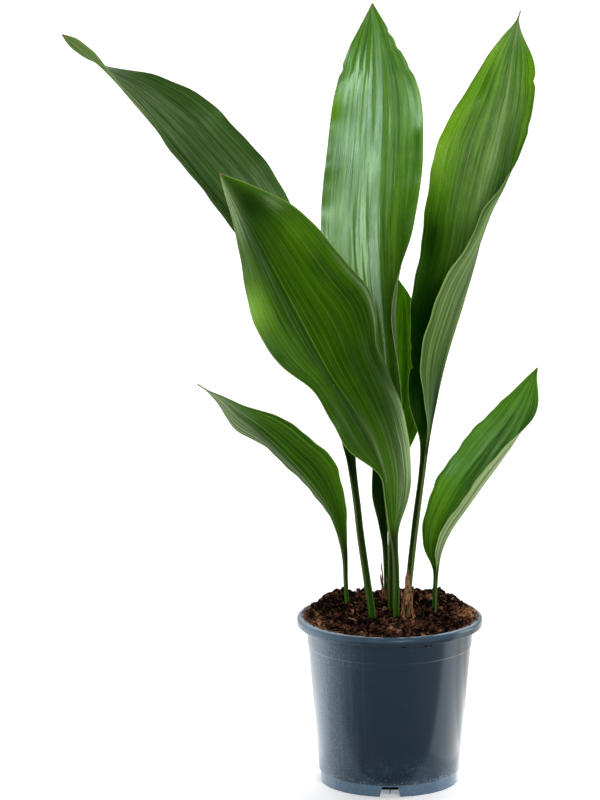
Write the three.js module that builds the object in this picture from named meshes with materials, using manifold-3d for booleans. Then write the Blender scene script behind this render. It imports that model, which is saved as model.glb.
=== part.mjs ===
/**
 * Potted cast iron plant: seven strap-like leaves, each grown in one piece with its own stem, in a
 * tapered grower's pot filled with soil. Millimetres, +Z up; the pot's axis is built on x = y = 0 and
 * the finished group is shifted so that the origin lies at the bottom centre of the whole object's box.
 */
import * as THREE from 'three';
import { mergeVertices } from 'three/addons/utils/BufferGeometryUtils.js';
import Module from 'manifold-3d';

const wasm = await Module();
wasm.setup();

/* ---------- driving dimensions ---------- */

const SEGMENTS = 48; // facets round the pot and the soil, aligned with each other
const CLEARANCE = 0.35; // gap between pieces that touch in the real plant
const OVERRUN = 1; // cutting solids run this far past the faces that they cut

const POT = {
  height: 128,
  lipRadius: 70,
  footRadius: 52,
  footHeight: 9,
  wall: 1.3,
  shoulderHeight: 106, // the stacking step in the wall
  wallRadiusAtFoot: 53.1,
  wallRadiusAtShoulder: 61.4,
  wallRadiusUnderLip: 63.3,
  floorBottom: 3.5,
  floorTop: 5,
};

/** The foot ring's outline as [inset from the foot's radius, height] pairs, from inside it to the wall. */
const FOOT_OUTLINE = [
  [2.4, POT.floorBottom],
  [2.2, 0.4],
  [1.9, 0],
  [0.5, 0],
  [0, 0.6],
  [-0.3, POT.footHeight - 0.4],
];

/** The lip's outline as [inset from its radius, drop from the pot's top] pairs, from under it to inside. */
const LIP_OUTLINE = [
  [1.7, 2.6],
  [1.5, 6.3],
  [0.4, 6.4],
  [0, 5.8],
  [0, 1.8],
  [0.7, 0.5],
  [2.2, 0],
  [4.6, 0.1],
  [5.8, 0.8],
];

/** The pot's inner wall as [radius, height] pairs, up from the floor to just below the lip. */
const INNER_WALL = [
  [POT.footRadius - 1.8, POT.floorTop],
  [POT.footRadius - 1.4, POT.footHeight - 0.6],
  [POT.footRadius - 0.4, POT.footHeight + 1],
  [POT.wallRadiusAtShoulder - POT.wall + 0.1, POT.shoulderHeight - 0.3],
  [POT.wallRadiusUnderLip - POT.wall, POT.height - 7],
];

const DRAIN = {
  count: 4,
  widthAtFoot: 15.6,
  widthAtTop: 11.7,
  height: 8, // roof of the drain channel that is cut through the foot
  depth: 13, // how far the channel reaches in from the foot
  skin: 1.5,
  slotWidth: 4,
  slotLength: 7,
  slotInset: 2, // from the channel's inner end
  ribWidth: 1.2,
  ribBottom: 2,
};

const SOIL = {
  frontLevel: 122.5,
  rise: 9, // the surface climbs towards the back
  riseFrom: -20,
  riseRun: 75,
  // waves that crumple the surface: height, then turns per millimetre and phase across and in depth
  clods: [
    { height: 1.5, across: [0.29, 1.1], deep: [0.25, 0.4] },
    { height: 1, across: [0.55, 2], deep: [0.41, 0.9] },
  ],
  heaps: [{ x: 36, y: 34, height: 5, spread: 16 }, { x: -38, y: 30, height: 5, spread: 15 }],
  rings: [0, 9, 18, 27, 36, 44, 51, 56.5],
  edgeDrop: 6, // the surface turns down to the wall over this height
  edgeFloor: 119, // and no lower than this
  edgeInset: 0.4,
  holeDepth: 60,
  holeSides: 12,
};

const LEAF = {
  thickness: 0.8,
  crease: 3, // width of the zone beside the midrib in which each half turns to its fold angle
  lift: 0.35, // upward share of the facing direction
  columns: 5, // strips in each half of the blade
  bladeStep: 13,
  stemStep: 26,
  stemFold: 35, // the stem is channelled on the side that the blade faces
  keelDepth: 0.9, // depth of the rounded back of the stem, as a share of its half width
  openRun: 12, // widening over which the section changes from a round stem to a spread blade
  tipKeel: 0.4, // half width of the midrib's keel at the tip
  fullRipple: 25, // half width at which the margin waves at its full height
  holeClearance: 1, // the hole's radius beyond the stem's half width
};

const ROOT_LEVEL = 105; // the stems end here, inside the soil

/*
 * Leaves. `stem` is the path of the stem up from its root. Each `blade` row is one station of the
 * midrib: its place, the compass angle that the upper face turns to (0 faces -Y, 90 faces +X), then
 * for the left and the right half the width, the fold out of the facing plane, and the further curl
 * from the crease to the margin. `ripple` is the height and length of the waves along the margins.
 */
const LEAVES = {
  leaf_rear_left: {
    stemHalf: 2.6,
    ripple: [1.2, 70],
    stem: [[-13, 6, ROOT_LEVEL], [-13, 6, 124], [-17, 9, 153], [-22, 14, 187], [-25, 19, 213]],
    blade: [
      [[-30, 26, 244], 20, [4.5, 40, 0], [4.5, 40, 0]],
      [[-38, 34, 273], 35, [13, 51, 0], [14, 40, 0]],
      [[-53, 42, 310], 40, [26, 51, 0], [28, 38, 0]],
      [[-75, 49, 354], 42, [36, 48, 0], [34.5, 36, 0]],
      [[-113, 58, 413], 44, [38, 46, 0], [44.5, 32, 0]],
      [[-145, 65, 452], 45, [36, 46, 0], [48.5, 28, 0]],
      [[-175, 71, 488], 50, [30, 44, 0], [41, 28, 0]],
      [[-198, 76, 514], 62, [20, 35, 0], [27, 25, 0]],
      [[-217, 80, 533], 95, [9, 25, 0], [8, 20, 0]],
      [[-230, 83, 544], 142, [6, 15, 0], [6, 10, 0]],
      [[-239, 85, 551], 155, [5, 10, 0], [5, 10, 0]],
      [[-247, 87, 557], 150, [0.5, 0, 0], [0.5, 0, 0]],
    ],
  },
  leaf_front: {
    stemHalf: 2.3,
    ripple: [1, 80],
    stem: [[5, 4, ROOT_LEVEL], [5, 4, 125], [5, 3, 155], [4, 2, 177]],
    blade: [
      [[1, 0, 195], 20, [2.5, 40, 0], [6, 40, -20]],
      [[-2, -2, 218], 20, [3, 40, 0], [17, 42, -50]],
      [[-5, -5, 238], 22, [3.5, 20, 0], [24, 42, -65]],
      [[-16, -10, 270], 24, [22.5, 12, 0], [33, 38, -60]],
      [[-31, -14, 296], 25, [23, 12, 0], [45, 30, -62]],
      [[-45, -18, 318], 26, [20, 12, -5], [54, 25, -50]],
      [[-60, -22, 347], 27, [35.5, 12, 0], [64, 20, -35]],
      [[-75, -26, 377], 27, [39, 15, 0], [55, 15, -15]],
      [[-99, -32, 424], 28, [26, 20, 5], [41, 12, -10]],
      [[-117, -36, 457], 25, [8.5, 25, 5], [17.5, 20, 0]],
      [[-127, -38, 476], 20, [0.5, 20, 0], [0.5, 20, 0]],
    ],
  },
  leaf_top: {
    stemHalf: 1.9,
    ripple: [1.2, 60],
    stem: [[1, 22, ROOT_LEVEL], [1, 22, 133], [1, 23, 165], [1, 25, 200]],
    blade: [
      [[1, 27, 226], 10, [4, 60, 0], [4, 60, 0]],
      [[0, 32, 264], 5, [14, 55, 0], [14, 60, 0]],
      [[-2, 39, 309], -2, [26, 40, 0], [24, 52, 40]],
      [[-5, 47, 346], -5, [35, 25, 0], [30, 38, 80]],
      [[-8, 56, 381], -5, [42, 15, 0], [34, 24, 72]],
      [[-9, 66, 417], 0, [43.5, 12, -10], [31.5, 20, 20]],
      [[-7, 83, 469], 0, [40.5, 12, -15], [32.5, 14, -20]],
      [[-6, 98, 512], 0, [35.5, 14, -10], [28.5, 14, -20]],
      [[-8, 110, 547], 0, [22.5, 18, 0], [12, 16, -10]],
      [[-13, 119, 575], -5, [0.5, 20, 0], [0.5, 20, 0]],
    ],
  },
  leaf_back: {
    stemHalf: 2,
    ripple: [1, 60],
    stem: [[-2, 34, ROOT_LEVEL], [-2, 34, 131], [-2, 36, 150], [-3, 38, 170]],
    blade: [
      [[-4, 41, 185], 5, [5, 45, 10], [3.5, 45, 0]],
      [[-2, 45, 206], 0, [12.5, 32, 0], [5, 30, 0]],
      [[2, 51, 232], -5, [15.5, 20, 0], [8, 20, 0]],
      [[7, 60, 265], -8, [21.5, 14, 0], [18, 14, 0]],
      [[9, 71, 301], -8, [20.5, 12, 0], [22, 12, 0]],
      [[10, 82, 334], -5, [16.5, 14, 0], [14, 14, 0]],
      [[10, 89, 352], -5, [9.5, 16, 0], [7, 14, 0]],
      [[7, 95, 366], 0, [0.5, 16, 0], [0.5, 12, 0]],
    ],
  },
  leaf_right: {
    stemHalf: 2.5,
    ripple: [1, 70],
    stem: [[12, 8, ROOT_LEVEL], [12, 8, 124], [13, 8, 138], [16, 10, 168], [20, 13, 203], [24, 16, 235]],
    blade: [
      [[27, 18, 258], -40, [5, 50, 0], [4.5, 55, 0]],
      [[33, 23, 288], -58, [20.5, 50, 0], [18, 66, 0]],
      [[41, 28, 321], -58, [27.5, 52, 0], [31, 70, 5]],
      [[54, 35, 362], -58, [39.5, 54, 0], [40, 62, 10]],
      [[65, 43, 399], -56, [42, 52, 0], [41, 38, 28]],
      [[71, 49, 428], -50, [45.5, 47, 0], [37, 15, 70]],
      [[77, 54, 450], -42, [48, 40, -5], [34, 5, 65]],
      [[84, 61, 479], -32, [45, 30, -8], [28, 12, 30]],
      [[91, 68, 510], -22, [36, 20, -8], [22.5, 8, 25]],
      [[94, 74, 540], -15, [21.5, 18, 0], [16, 15, 0]],
      [[96, 77, 561], -10, [8.5, 15, 0], [3, 15, 0]],
      [[96, 78, 570], -10, [1, 15, 0], [1, 15, 0]],
      [[98, 79, 577], -10, [0.5, 15, 0], [0.5, 15, 0]],
    ],
  },
  leaf_low_left: {
    stemHalf: 1.6,
    ripple: [0.8, 45],
    stem: [[-32, 22, ROOT_LEVEL], [-32, 22, 129], [-33, 20, 150]],
    blade: [
      [[-34, 17, 168], 35, [2.5, 40, 0], [2.5, 40, 0]],
      [[-39, 11, 190], 45, [9, 42, 0], [7.5, 45, 0]],
      [[-48, 3, 213], 48, [15, 40, 0], [16.5, 45, 0]],
      [[-61, -6, 234], 50, [18, 38, 0], [24, 45, 0]],
      [[-77, -14, 254], 50, [19, 36, 0], [22.5, 42, 0]],
      [[-95, -22, 274], 46, [18, 36, 0], [17.5, 38, 0]],
      [[-113, -29, 291], 40, [15.5, 18, 0], [7.5, 28, 0]],
      [[-126, -34, 303], 30, [6, 14, 0], [3, 18, 0]],
      [[-136, -37, 310], 20, [1, 10, 0], [1, 10, 0]],
      [[-144, -39, 316], 20, [0.5, 0, 0], [0.5, 0, 0]],
    ],
  },
  leaf_low_right: {
    stemHalf: 1.8,
    ripple: [0.8, 50],
    stem: [[34, 13, ROOT_LEVEL], [34, 13, 125], [34, 11, 141]],
    blade: [
      [[35, 9, 161], -50, [3, 50, 0], [3, 50, 0]],
      [[38, 6, 177], -60, [14.5, 52, 0], [9, 62, 0]],
      [[45, 1, 194], -62, [23.5, 55, 0], [15, 60, 0]],
      [[57, -5, 213], -62, [29.5, 55, 0], [19, 58, 0]],
      [[69, -11, 232], -60, [31.5, 54, 0], [20, 60, 0]],
      [[82, -18, 252], -58, [31, 52, 0], [20, 60, 0]],
      [[93, -25, 271], -50, [28.5, 46, 0], [18, 52, 20]],
      [[102, -30, 293], -35, [21.5, 34, 0], [13.5, 22, 30]],
      [[106, -33, 309], -20, [13, 20, 0], [5, 15, 0]],
      [[108, -35, 320], -10, [6.5, 12, 0], [1, 8, 0]],
      [[109, -36, 328], 0, [0.5, 0, 0], [0.5, 0, 0]],
    ],
  },
};

/* Dried scale leaves round the foot of two stems: how far up the stem each one reaches, and its girth. */
const SHEATHS = {
  sheath_right: { leaf: 'leaf_right', top: 161, gap: 1.1, flare: 1.4, opening: 100, facing: 20 },
  sheath_back: { leaf: 'leaf_back', top: 157, gap: 0.9, flare: 0.8, opening: 120, facing: -60 },
};
const SHEATH = {
  wall: 0.7,
  foot: 119, // below the surface of the soil
  buried: 0.25, // share of its height that keeps the girth of its hole
  swellRun: 0.77, // share of its height over which it swells and closes again
  tipOpening: 8,
  tipSharpness: 1.6,
  levels: 8,
  steps: 7,
};

/* ---------- solids and booleans ---------- */

/** A manifold-3d solid of a closed three.js geometry. */
function solidOf(geometry) {
  const plain = new THREE.BufferGeometry();
  plain.setAttribute('position', geometry.getAttribute('position'));
  plain.setIndex(geometry.getIndex());
  const merged = mergeVertices(plain, 1e-4);
  const index = merged.getIndex().array;
  const triangles = [];
  for (let i = 0; i < index.length; i += 3) {
    const [a, b, c] = [index[i], index[i + 1], index[i + 2]];
    if (a !== b && b !== c && a !== c) triangles.push(a, b, c);
  }
  const vertProperties = new Float32Array(merged.getAttribute('position').array);
  const triVerts = new Uint32Array(triangles);
  return new wasm.Manifold(new wasm.Mesh({ numProp: 3, vertProperties, triVerts }));
}

/** The three.js geometry of a manifold-3d solid. */
function geometryOf(solid) {
  const { vertProperties, triVerts } = solid.getMesh();
  const geometry = new THREE.BufferGeometry();
  geometry.setAttribute('position', new THREE.BufferAttribute(vertProperties, 3));
  geometry.setIndex(new THREE.BufferAttribute(triVerts, 1));
  return geometry;
}

/** A closed geometry from rings of equally many points, each ring counterclockwise seen from its end. */
function loft(rings) {
  const count = rings[0].length;
  const positions = rings.flat().flatMap((p) => [p.x, p.y, p.z]);
  const index = [];
  for (let i = 0; i < rings.length - 1; i++) {
    for (let j = 0; j < count; j++) {
      const a = i * count + j;
      const b = i * count + ((j + 1) % count);
      index.push(a, b, b + count, a, b + count, a + count);
    }
  }
  const geometry = new THREE.BufferGeometry();
  geometry.setAttribute('position', new THREE.Float32BufferAttribute(positions, 3));
  geometry.setIndex(index);
  return geometry;
}

/** A solid of revolution about Z from [radius, height] pairs. */
function turned(profile) {
  const points = profile.map(([r, z]) => new THREE.Vector2(r, z));
  return solidOf(new THREE.LatheGeometry(points, SEGMENTS).rotateX(Math.PI / 2));
}

/* ---------- pot ---------- */

/** A block of trapezoid section that points out along -Y, turned to one of the drain channels. */
function drainBlock(turn, near, far, bottom, top, widthBottom, widthTop) {
  const outline = new THREE.Shape([
    new THREE.Vector2(-widthBottom / 2, bottom),
    new THREE.Vector2(widthBottom / 2, bottom),
    new THREE.Vector2(widthTop / 2, top),
    new THREE.Vector2(-widthTop / 2, top),
  ]);
  const block = new THREE.ExtrudeGeometry(outline, { depth: far - near, bevelEnabled: false });
  return solidOf(block.rotateX(Math.PI / 2).translate(0, -near, 0).rotateZ(turn));
}

/** The width of a drain channel at a height, widened by a margin on each side. */
function channelWidth(height, margin = 0) {
  const share = height / POT.footHeight;
  return DRAIN.widthAtFoot + (DRAIN.widthAtTop - DRAIN.widthAtFoot) * share + 2 * margin;
}

const drainTurns = Array.from({ length: DRAIN.count }, (_, k) => (k * 2 * Math.PI) / DRAIN.count);
const channelInner = POT.footRadius - DRAIN.depth;

function makePot() {
  const { wallRadiusAtFoot, wallRadiusAtShoulder, wallRadiusUnderLip, floorBottom, floorTop } = POT;
  let pot = turned([
    [0, floorBottom],
    ...FOOT_OUTLINE.map(([inset, z]) => [POT.footRadius - inset, z]),
    [wallRadiusAtFoot, POT.footHeight + 0.4],
    [wallRadiusAtShoulder, POT.shoulderHeight - 0.3],
    [wallRadiusAtShoulder + 0.6, POT.shoulderHeight + 0.3],
    [wallRadiusUnderLip - 0.1, POT.height - 7],
    [wallRadiusUnderLip, POT.height - 2.6],
    ...LIP_OUTLINE.map(([inset, drop]) => [POT.lipRadius - inset, POT.height - drop]),
    [wallRadiusUnderLip - 0.1, POT.height - 2.4],
    ...[...INNER_WALL].reverse(),
    [0, floorTop],
  ]);
  const roof = DRAIN.height + DRAIN.skin;
  for (const turn of drainTurns) {
    const housing = drainBlock(
      turn, channelInner - DRAIN.skin, POT.footRadius - OVERRUN, floorBottom, roof,
      channelWidth(floorBottom, DRAIN.skin), channelWidth(roof, DRAIN.skin),
    );
    pot = pot.add(housing);
  }
  const slotNear = channelInner + DRAIN.slotInset;
  const slotFar = slotNear + DRAIN.slotLength;
  const slotsWidth = 2 * DRAIN.slotWidth + DRAIN.ribWidth;
  for (const turn of drainTurns) {
    const channel = drainBlock(
      turn, channelInner, POT.footRadius + 2 * OVERRUN, -OVERRUN, DRAIN.height,
      channelWidth(-OVERRUN), channelWidth(DRAIN.height),
    );
    const slots = drainBlock(
      turn, slotNear, slotFar, DRAIN.height - OVERRUN, roof + OVERRUN, slotsWidth, slotsWidth,
    );
    const rib = drainBlock(
      turn, channelInner - DRAIN.skin / 3, slotFar + DRAIN.skin / 3, DRAIN.ribBottom, roof,
      DRAIN.ribWidth, DRAIN.ribWidth,
    );
    pot = pot.subtract(channel).subtract(slots).add(rib);
  }
  return pot;
}

/* ---------- soil ---------- */

/** Height of the soil's surface: level in front, rising to the back, with clods and two heaps. */
function soilLevel(x, y) {
  const share = THREE.MathUtils.smoothstep(y, SOIL.riseFrom, SOIL.riseFrom + SOIL.riseRun);
  let level = SOIL.frontLevel + SOIL.rise * share;
  for (const { height, across, deep } of SOIL.clods) {
    level += height * Math.sin(across[0] * x + across[1]) * Math.sin(deep[0] * y + deep[1]);
  }
  for (const heap of SOIL.heaps) {
    const away = Math.hypot(x - heap.x, y - heap.y) / heap.spread;
    level += heap.height * Math.exp(-(away ** 2));
  }
  return level;
}

function ringOf(radius, level) {
  return Array.from({ length: SEGMENTS }, (_, k) => {
    const angle = (k * 2 * Math.PI) / SEGMENTS;
    const [x, y] = [radius * Math.cos(angle), radius * Math.sin(angle)];
    return new THREE.Vector3(x, y, level(x, y));
  });
}

function makeSoil(stemHoles) {
  const flat = (z) => () => z;
  const bottom = POT.floorTop + CLEARANCE;
  const side = INNER_WALL.slice(1).map(([radius, z]) => [radius - CLEARANCE, flat(z)]);
  const [topRadius] = side.pop();
  const shoulder = (x, y) => Math.max(SOIL.edgeFloor, soilLevel(x, y) - SOIL.edgeDrop);
  const rings = [
    ringOf(0, flat(bottom)),
    ringOf(INNER_WALL[0][0] - CLEARANCE, flat(bottom)),
    ...side.map(([radius, level]) => ringOf(radius, level)),
    ringOf(topRadius - SOIL.edgeInset, shoulder),
    ...[...SOIL.rings].reverse().map((radius) => ringOf(radius, soilLevel)),
  ];
  let soil = solidOf(loft(rings));
  const margin = DRAIN.skin + CLEARANCE;
  const roof = DRAIN.height + margin;
  for (const turn of drainTurns) {
    soil = soil.subtract(
      drainBlock(
        turn, channelInner - margin, POT.footRadius + 5 * OVERRUN, 0, roof,
        channelWidth(0, margin), channelWidth(roof, margin),
      ),
    );
  }
  const { holeDepth, holeSides } = SOIL;
  for (const { x, y, radius, foot } of stemHoles) {
    const hole = new THREE.CylinderGeometry(radius, radius, holeDepth, holeSides).rotateX(Math.PI / 2);
    soil = soil.subtract(solidOf(hole.translate(x, y, foot + holeDepth / 2)));
  }
  return soil;
}

/* ---------- leaves ---------- */

/** Centripetal Catmull-Rom through rows of numbers whose first three are a place. */
function rowAt(rows, u) {
  const i = Math.min(Math.floor(u), rows.length - 2);
  const t = u - i;
  const [p1, p2] = [rows[i], rows[i + 1]];
  const mirrored = (a, b) => a.map((v, k) => 2 * v - b[k]);
  const p0 = rows[i - 1] ?? mirrored(p1, p2);
  const p3 = rows[i + 2] ?? mirrored(p2, p1);
  const knot = (a, b) => Math.sqrt(Math.hypot(a[0] - b[0], a[1] - b[1], a[2] - b[2]));
  const [d0, d1, d2] = [knot(p0, p1), knot(p1, p2), knot(p2, p3)];
  return p1.map((v, k) => {
    const m1 = d1 * ((v - p0[k]) / d0 - (p2[k] - p0[k]) / (d0 + d1) + (p2[k] - v) / d1);
    const m2 = d1 * ((p2[k] - v) / d1 - (p3[k] - v) / (d1 + d2) + (p3[k] - p2[k]) / d2);
    return (
      (2 * t ** 3 - 3 * t ** 2 + 1) * v + (t ** 3 - 2 * t ** 2 + t) * m1 +
      (3 * t ** 2 - 2 * t ** 3) * p2[k] + (t ** 3 - t ** 2) * m2
    );
  });
}

/** Stem and blade as one list of rows: x, y, z, facing, left and right half, keel half width. */
function leafRows({ stemHalf, stem, blade }) {
  const { stemFold } = LEAF;
  const stemHalfRow = [stemHalf, stemFold, 0];
  const stemRows = stem.map((p) => [...p, blade[0][1], ...stemHalfRow, ...stemHalfRow, stemHalf]);
  const last = blade.length - 1;
  const bladeRows = blade.map(([p, facing, left, right], k) => {
    const keel = THREE.MathUtils.lerp(stemHalf, LEAF.tipKeel, k / last);
    return [...p, facing, ...left, ...right, keel];
  });
  return { rows: [...stemRows, ...bladeRows], bladeStart: stem.length };
}

/** The axes of a leaf's section: along the midrib, out of the upper face, and to the right. */
function sectionAxes(rows, u) {
  const step = 1e-3;
  const ahead = rowAt(rows, Math.min(u + step, rows.length - 1));
  const behind = rowAt(rows, Math.max(u - step, 0));
  const along = new THREE.Vector3(...ahead.slice(0, 3)).sub(new THREE.Vector3(...behind.slice(0, 3)));
  along.normalize();
  const facing = THREE.MathUtils.degToRad(rowAt(rows, u)[3]);
  const up = new THREE.Vector3(Math.sin(facing), -Math.cos(facing), LEAF.lift);
  up.addScaledVector(along, -up.dot(along)).normalize();
  return { along, up, right: new THREE.Vector3().crossVectors(along, up) };
}

/** End of an arc of a length that starts at one angle and turns by another. */
function arcEnd(start, turn, length) {
  if (Math.abs(turn) < 1e-4) return [length * Math.cos(start), length * Math.sin(start)];
  const radius = length / turn;
  return [
    radius * (Math.sin(start + turn) - Math.sin(start)),
    radius * (Math.cos(start) - Math.cos(start + turn)),
  ];
}

/** A point of one half's section at a distance from the midrib: out, up, and the surface's angle. */
function halfSection([width, foldDegrees, curlDegrees], distance) {
  const fold = THREE.MathUtils.degToRad(foldDegrees);
  const curl = THREE.MathUtils.degToRad(curlDegrees);
  const crease = Math.min(LEAF.crease, width / 2);
  if (distance <= crease) {
    const angle = (fold * distance) / crease;
    return [...arcEnd(0, angle, distance), angle];
  }
  const further = (curl * (distance - crease)) / (width - crease);
  const [out, up] = arcEnd(0, fold, crease);
  const [furtherOut, furtherUp] = arcEnd(fold, further, distance - crease);
  return [out + furtherOut, up + furtherUp, fold + further];
}

/** Distances of the section's points from the midrib: round in the stem, spread in the blade. */
function columnDistances(width, stemHalf) {
  const open = THREE.MathUtils.smoothstep(width - stemHalf, 0, LEAF.openRun);
  return Array.from({ length: LEAF.columns + 1 }, (_, j) => {
    const round = width * Math.sin((Math.PI / 2) * (j / LEAF.columns));
    const spread = j === 0 ? 0 : LEAF.crease + ((width - LEAF.crease) * (j - 1)) / (LEAF.columns - 1);
    return THREE.MathUtils.lerp(round, spread, open);
  });
}

/** The upper and lower points of a leaf's section, from the left margin to the right one. */
function leafSection(rows, u, stemHalf, wave) {
  const row = rowAt(rows, u);
  const place = new THREE.Vector3(row[0], row[1], row[2]);
  const axes = sectionAxes(rows, u);
  const keelHalf = row[10];
  const points = [];
  for (const side of [-1, 1]) {
    const half = side < 0 ? row.slice(4, 7) : row.slice(7, 10);
    const distances = columnDistances(half[0], stemHalf);
    const ordered = side < 0 ? distances.reverse() : distances.slice(1);
    for (const distance of ordered) {
      const [out, up, angle] = halfSection(half, distance);
      const share = distance / half[0];
      const rise = up + wave(side) * share ** 2 * Math.min(half[0] / LEAF.fullRipple, 1);
      const middle = place.clone().addScaledVector(axes.right, side * out).addScaledVector(axes.up, rise);
      const normal = axes.up.clone().multiplyScalar(Math.cos(angle));
      normal.addScaledVector(axes.right, -side * Math.sin(angle));
      const round = Math.sqrt(Math.max(0, 1 - (distance / keelHalf) ** 2));
      const keel = ((LEAF.keelDepth * keelHalf ** 2) / stemHalf) * round;
      points.push({
        upper: middle.clone().addScaledVector(normal, LEAF.thickness / 2),
        lower: middle.clone().addScaledVector(normal, -LEAF.thickness / 2 - keel),
      });
    }
  }
  return points;
}

/** Where the sections stand along the rows, closer together in the blade than in the stem. */
function stationPlaces(rows, bladeStart) {
  const places = [0];
  for (let i = 0; i < rows.length - 1; i++) {
    const span = Math.hypot(...[0, 1, 2].map((k) => rows[i + 1][k] - rows[i][k]));
    const count = Math.max(1, Math.round(span / (i < bladeStart ? LEAF.stemStep : LEAF.bladeStep)));
    for (let k = 1; k <= count; k++) places.push(i + k / count);
  }
  return places;
}

/** One closed skin: the upper and lower faces are split along the same diagonals. */
function skin(sections) {
  const across = sections[0].length;
  const positions = [];
  for (const section of sections) {
    for (const { upper } of section) positions.push(upper.x, upper.y, upper.z);
    for (const { lower } of section) positions.push(lower.x, lower.y, lower.z);
  }
  const upperAt = (i, c) => 2 * across * i + c;
  const lowerAt = (i, c) => upperAt(i, c) + across;
  const index = [];
  const middle = (across - 1) / 2;
  for (let i = 0; i < sections.length - 1; i++) {
    for (let c = 0; c < across - 1; c++) {
      const corners = [[i, c], [i, c + 1], [i + 1, c + 1], [i + 1, c]];
      const split = c < middle ? [[0, 1, 3], [1, 2, 3]] : [[0, 1, 2], [0, 2, 3]];
      for (const triangle of split) {
        index.push(...triangle.map((k) => upperAt(...corners[k])));
        index.push(...triangle.map((k) => lowerAt(...corners[k])).reverse());
      }
    }
    const end = across - 1;
    index.push(lowerAt(i, 0), upperAt(i, 0), upperAt(i + 1, 0));
    index.push(lowerAt(i, 0), upperAt(i + 1, 0), lowerAt(i + 1, 0));
    index.push(upperAt(i, end), lowerAt(i, end), lowerAt(i + 1, end));
    index.push(upperAt(i, end), lowerAt(i + 1, end), upperAt(i + 1, end));
  }
  const tip = sections.length - 1;
  for (let c = 0; c < across - 1; c++) {
    index.push(lowerAt(0, c), lowerAt(0, c + 1), upperAt(0, c + 1));
    index.push(lowerAt(0, c), upperAt(0, c + 1), upperAt(0, c));
    index.push(lowerAt(tip, c + 1), lowerAt(tip, c), upperAt(tip, c));
    index.push(lowerAt(tip, c + 1), upperAt(tip, c), upperAt(tip, c + 1));
  }
  const geometry = new THREE.BufferGeometry();
  geometry.setAttribute('position', new THREE.Float32BufferAttribute(positions, 3));
  geometry.setIndex(index);
  return geometry;
}

function makeLeaf(leaf) {
  const { rows, bladeStart } = leafRows(leaf);
  const [height, length] = leaf.ripple;
  let run = 0;
  let previous = rows[0];
  const sections = stationPlaces(rows, bladeStart).map((u) => {
    const row = rowAt(rows, u);
    run += Math.hypot(row[0] - previous[0], row[1] - previous[1], row[2] - previous[2]);
    previous = row;
    const wave = (side) => height * Math.sin((2 * Math.PI * run) / length + side);
    return leafSection(rows, u, leaf.stemHalf, wave);
  });
  return skin(sections);
}

/* ---------- scale leaves ---------- */

/** A thin, open, pointed tube that wraps the foot of a stem. */
function makeSheath({ leaf, top, gap, flare, opening, facing }) {
  const { stemHalf, stem } = LEAVES[leaf];
  const path = new THREE.CatmullRomCurve3(stem.map((p) => new THREE.Vector3(...p)), false, 'centripetal');
  const samples = path.getPoints(200);
  const turn = THREE.MathUtils.degToRad(facing - 90);
  const rings = [];
  for (let i = 0; i <= SHEATH.levels; i++) {
    const share = i / SHEATH.levels;
    const z = THREE.MathUtils.lerp(SHEATH.foot, top, share);
    const centre = samples.find((p) => p.z >= z);
    const swell = THREE.MathUtils.clamp((share - SHEATH.buried) / SHEATH.swellRun, 0, 1);
    const inner = stemHalf + gap + flare * Math.sin(Math.PI * swell) ** 2;
    const open = THREE.MathUtils.lerp(opening, SHEATH.tipOpening, share ** SHEATH.tipSharpness);
    const half = THREE.MathUtils.degToRad(open);
    const arc = (radius, from, to) =>
      Array.from({ length: SHEATH.steps + 1 }, (_, k) => {
        const angle = turn + THREE.MathUtils.lerp(from, to, k / SHEATH.steps);
        const [x, y] = [radius * Math.cos(angle), radius * Math.sin(angle)];
        return new THREE.Vector3(centre.x + x, centre.y + y, z);
      });
    rings.push([...arc(inner + SHEATH.wall, -half, half), ...arc(inner, half, -half)]);
  }
  return capped(rings);
}

/** A loft whose end rings are closed with strips between their first and second halves. */
function capped(rings) {
  const geometry = loft(rings);
  const count = rings[0].length;
  const index = Array.from(geometry.getIndex().array);
  const last = (rings.length - 1) * count;
  for (let k = 0; k < count / 2 - 1; k++) {
    const [a, b, c, d] = [k, k + 1, count - 2 - k, count - 1 - k];
    index.push(a, c, b, a, d, c);
    index.push(last + a, last + b, last + c, last + a, last + c, last + d);
  }
  geometry.setIndex(index);
  return geometry;
}

/* ---------- materials and assembly ---------- */

const finish = (color, roughness) => new THREE.MeshStandardMaterial({ color, roughness, metalness: 0 });
const FINISHES = {
  pot: finish(0x2f3e4a, 0.45),
  soil: finish(0x2b1e18, 1),
  leaf: finish(0x3f6b1a, 0.4),
  sheath: finish(0x8a6a45, 0.8),
};

const object = new THREE.Group();

function place(name, geometry, material) {
  const mesh = new THREE.Mesh(geometry, material);
  mesh.name = name;
  object.add(mesh);
}

/** The round hole that a leaf's stem stands in, wide enough for a scale leaf where it has one. */
function stemHole([name, { stemHalf, stem }]) {
  const sheath = Object.values(SHEATHS).find(({ leaf }) => leaf === name);
  const radius = sheath ? stemHalf + sheath.gap + SHEATH.wall + CLEARANCE : stemHalf + LEAF.holeClearance;
  return { x: stem[0][0], y: stem[0][1], radius, foot: ROOT_LEVEL - CLEARANCE };
}

place('pot', geometryOf(makePot()), FINISHES.pot);
place('soil', geometryOf(makeSoil(Object.entries(LEAVES).map(stemHole))), FINISHES.soil);
for (const [name, leaf] of Object.entries(LEAVES)) place(name, makeLeaf(leaf), FINISHES.leaf);
for (const [name, sheath] of Object.entries(SHEATHS)) place(name, makeSheath(sheath), FINISHES.sheath);

const box = new THREE.Box3().setFromObject(object);
const centre = box.getCenter(new THREE.Vector3());
object.position.set(-centre.x, -centre.y, -box.min.z);

export default object;
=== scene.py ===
"""Looks of the potted cast iron plant: fine leaves, a moulded pot, crumbly soil and papery scale leaves.

Sizes are in millimetres about the pot's axis, with the pot's foot at zero, and become metres in the frame of
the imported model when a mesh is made. Angles are in degrees, and a bearing is 0 towards -Y and 90 towards +X.
"""

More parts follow.
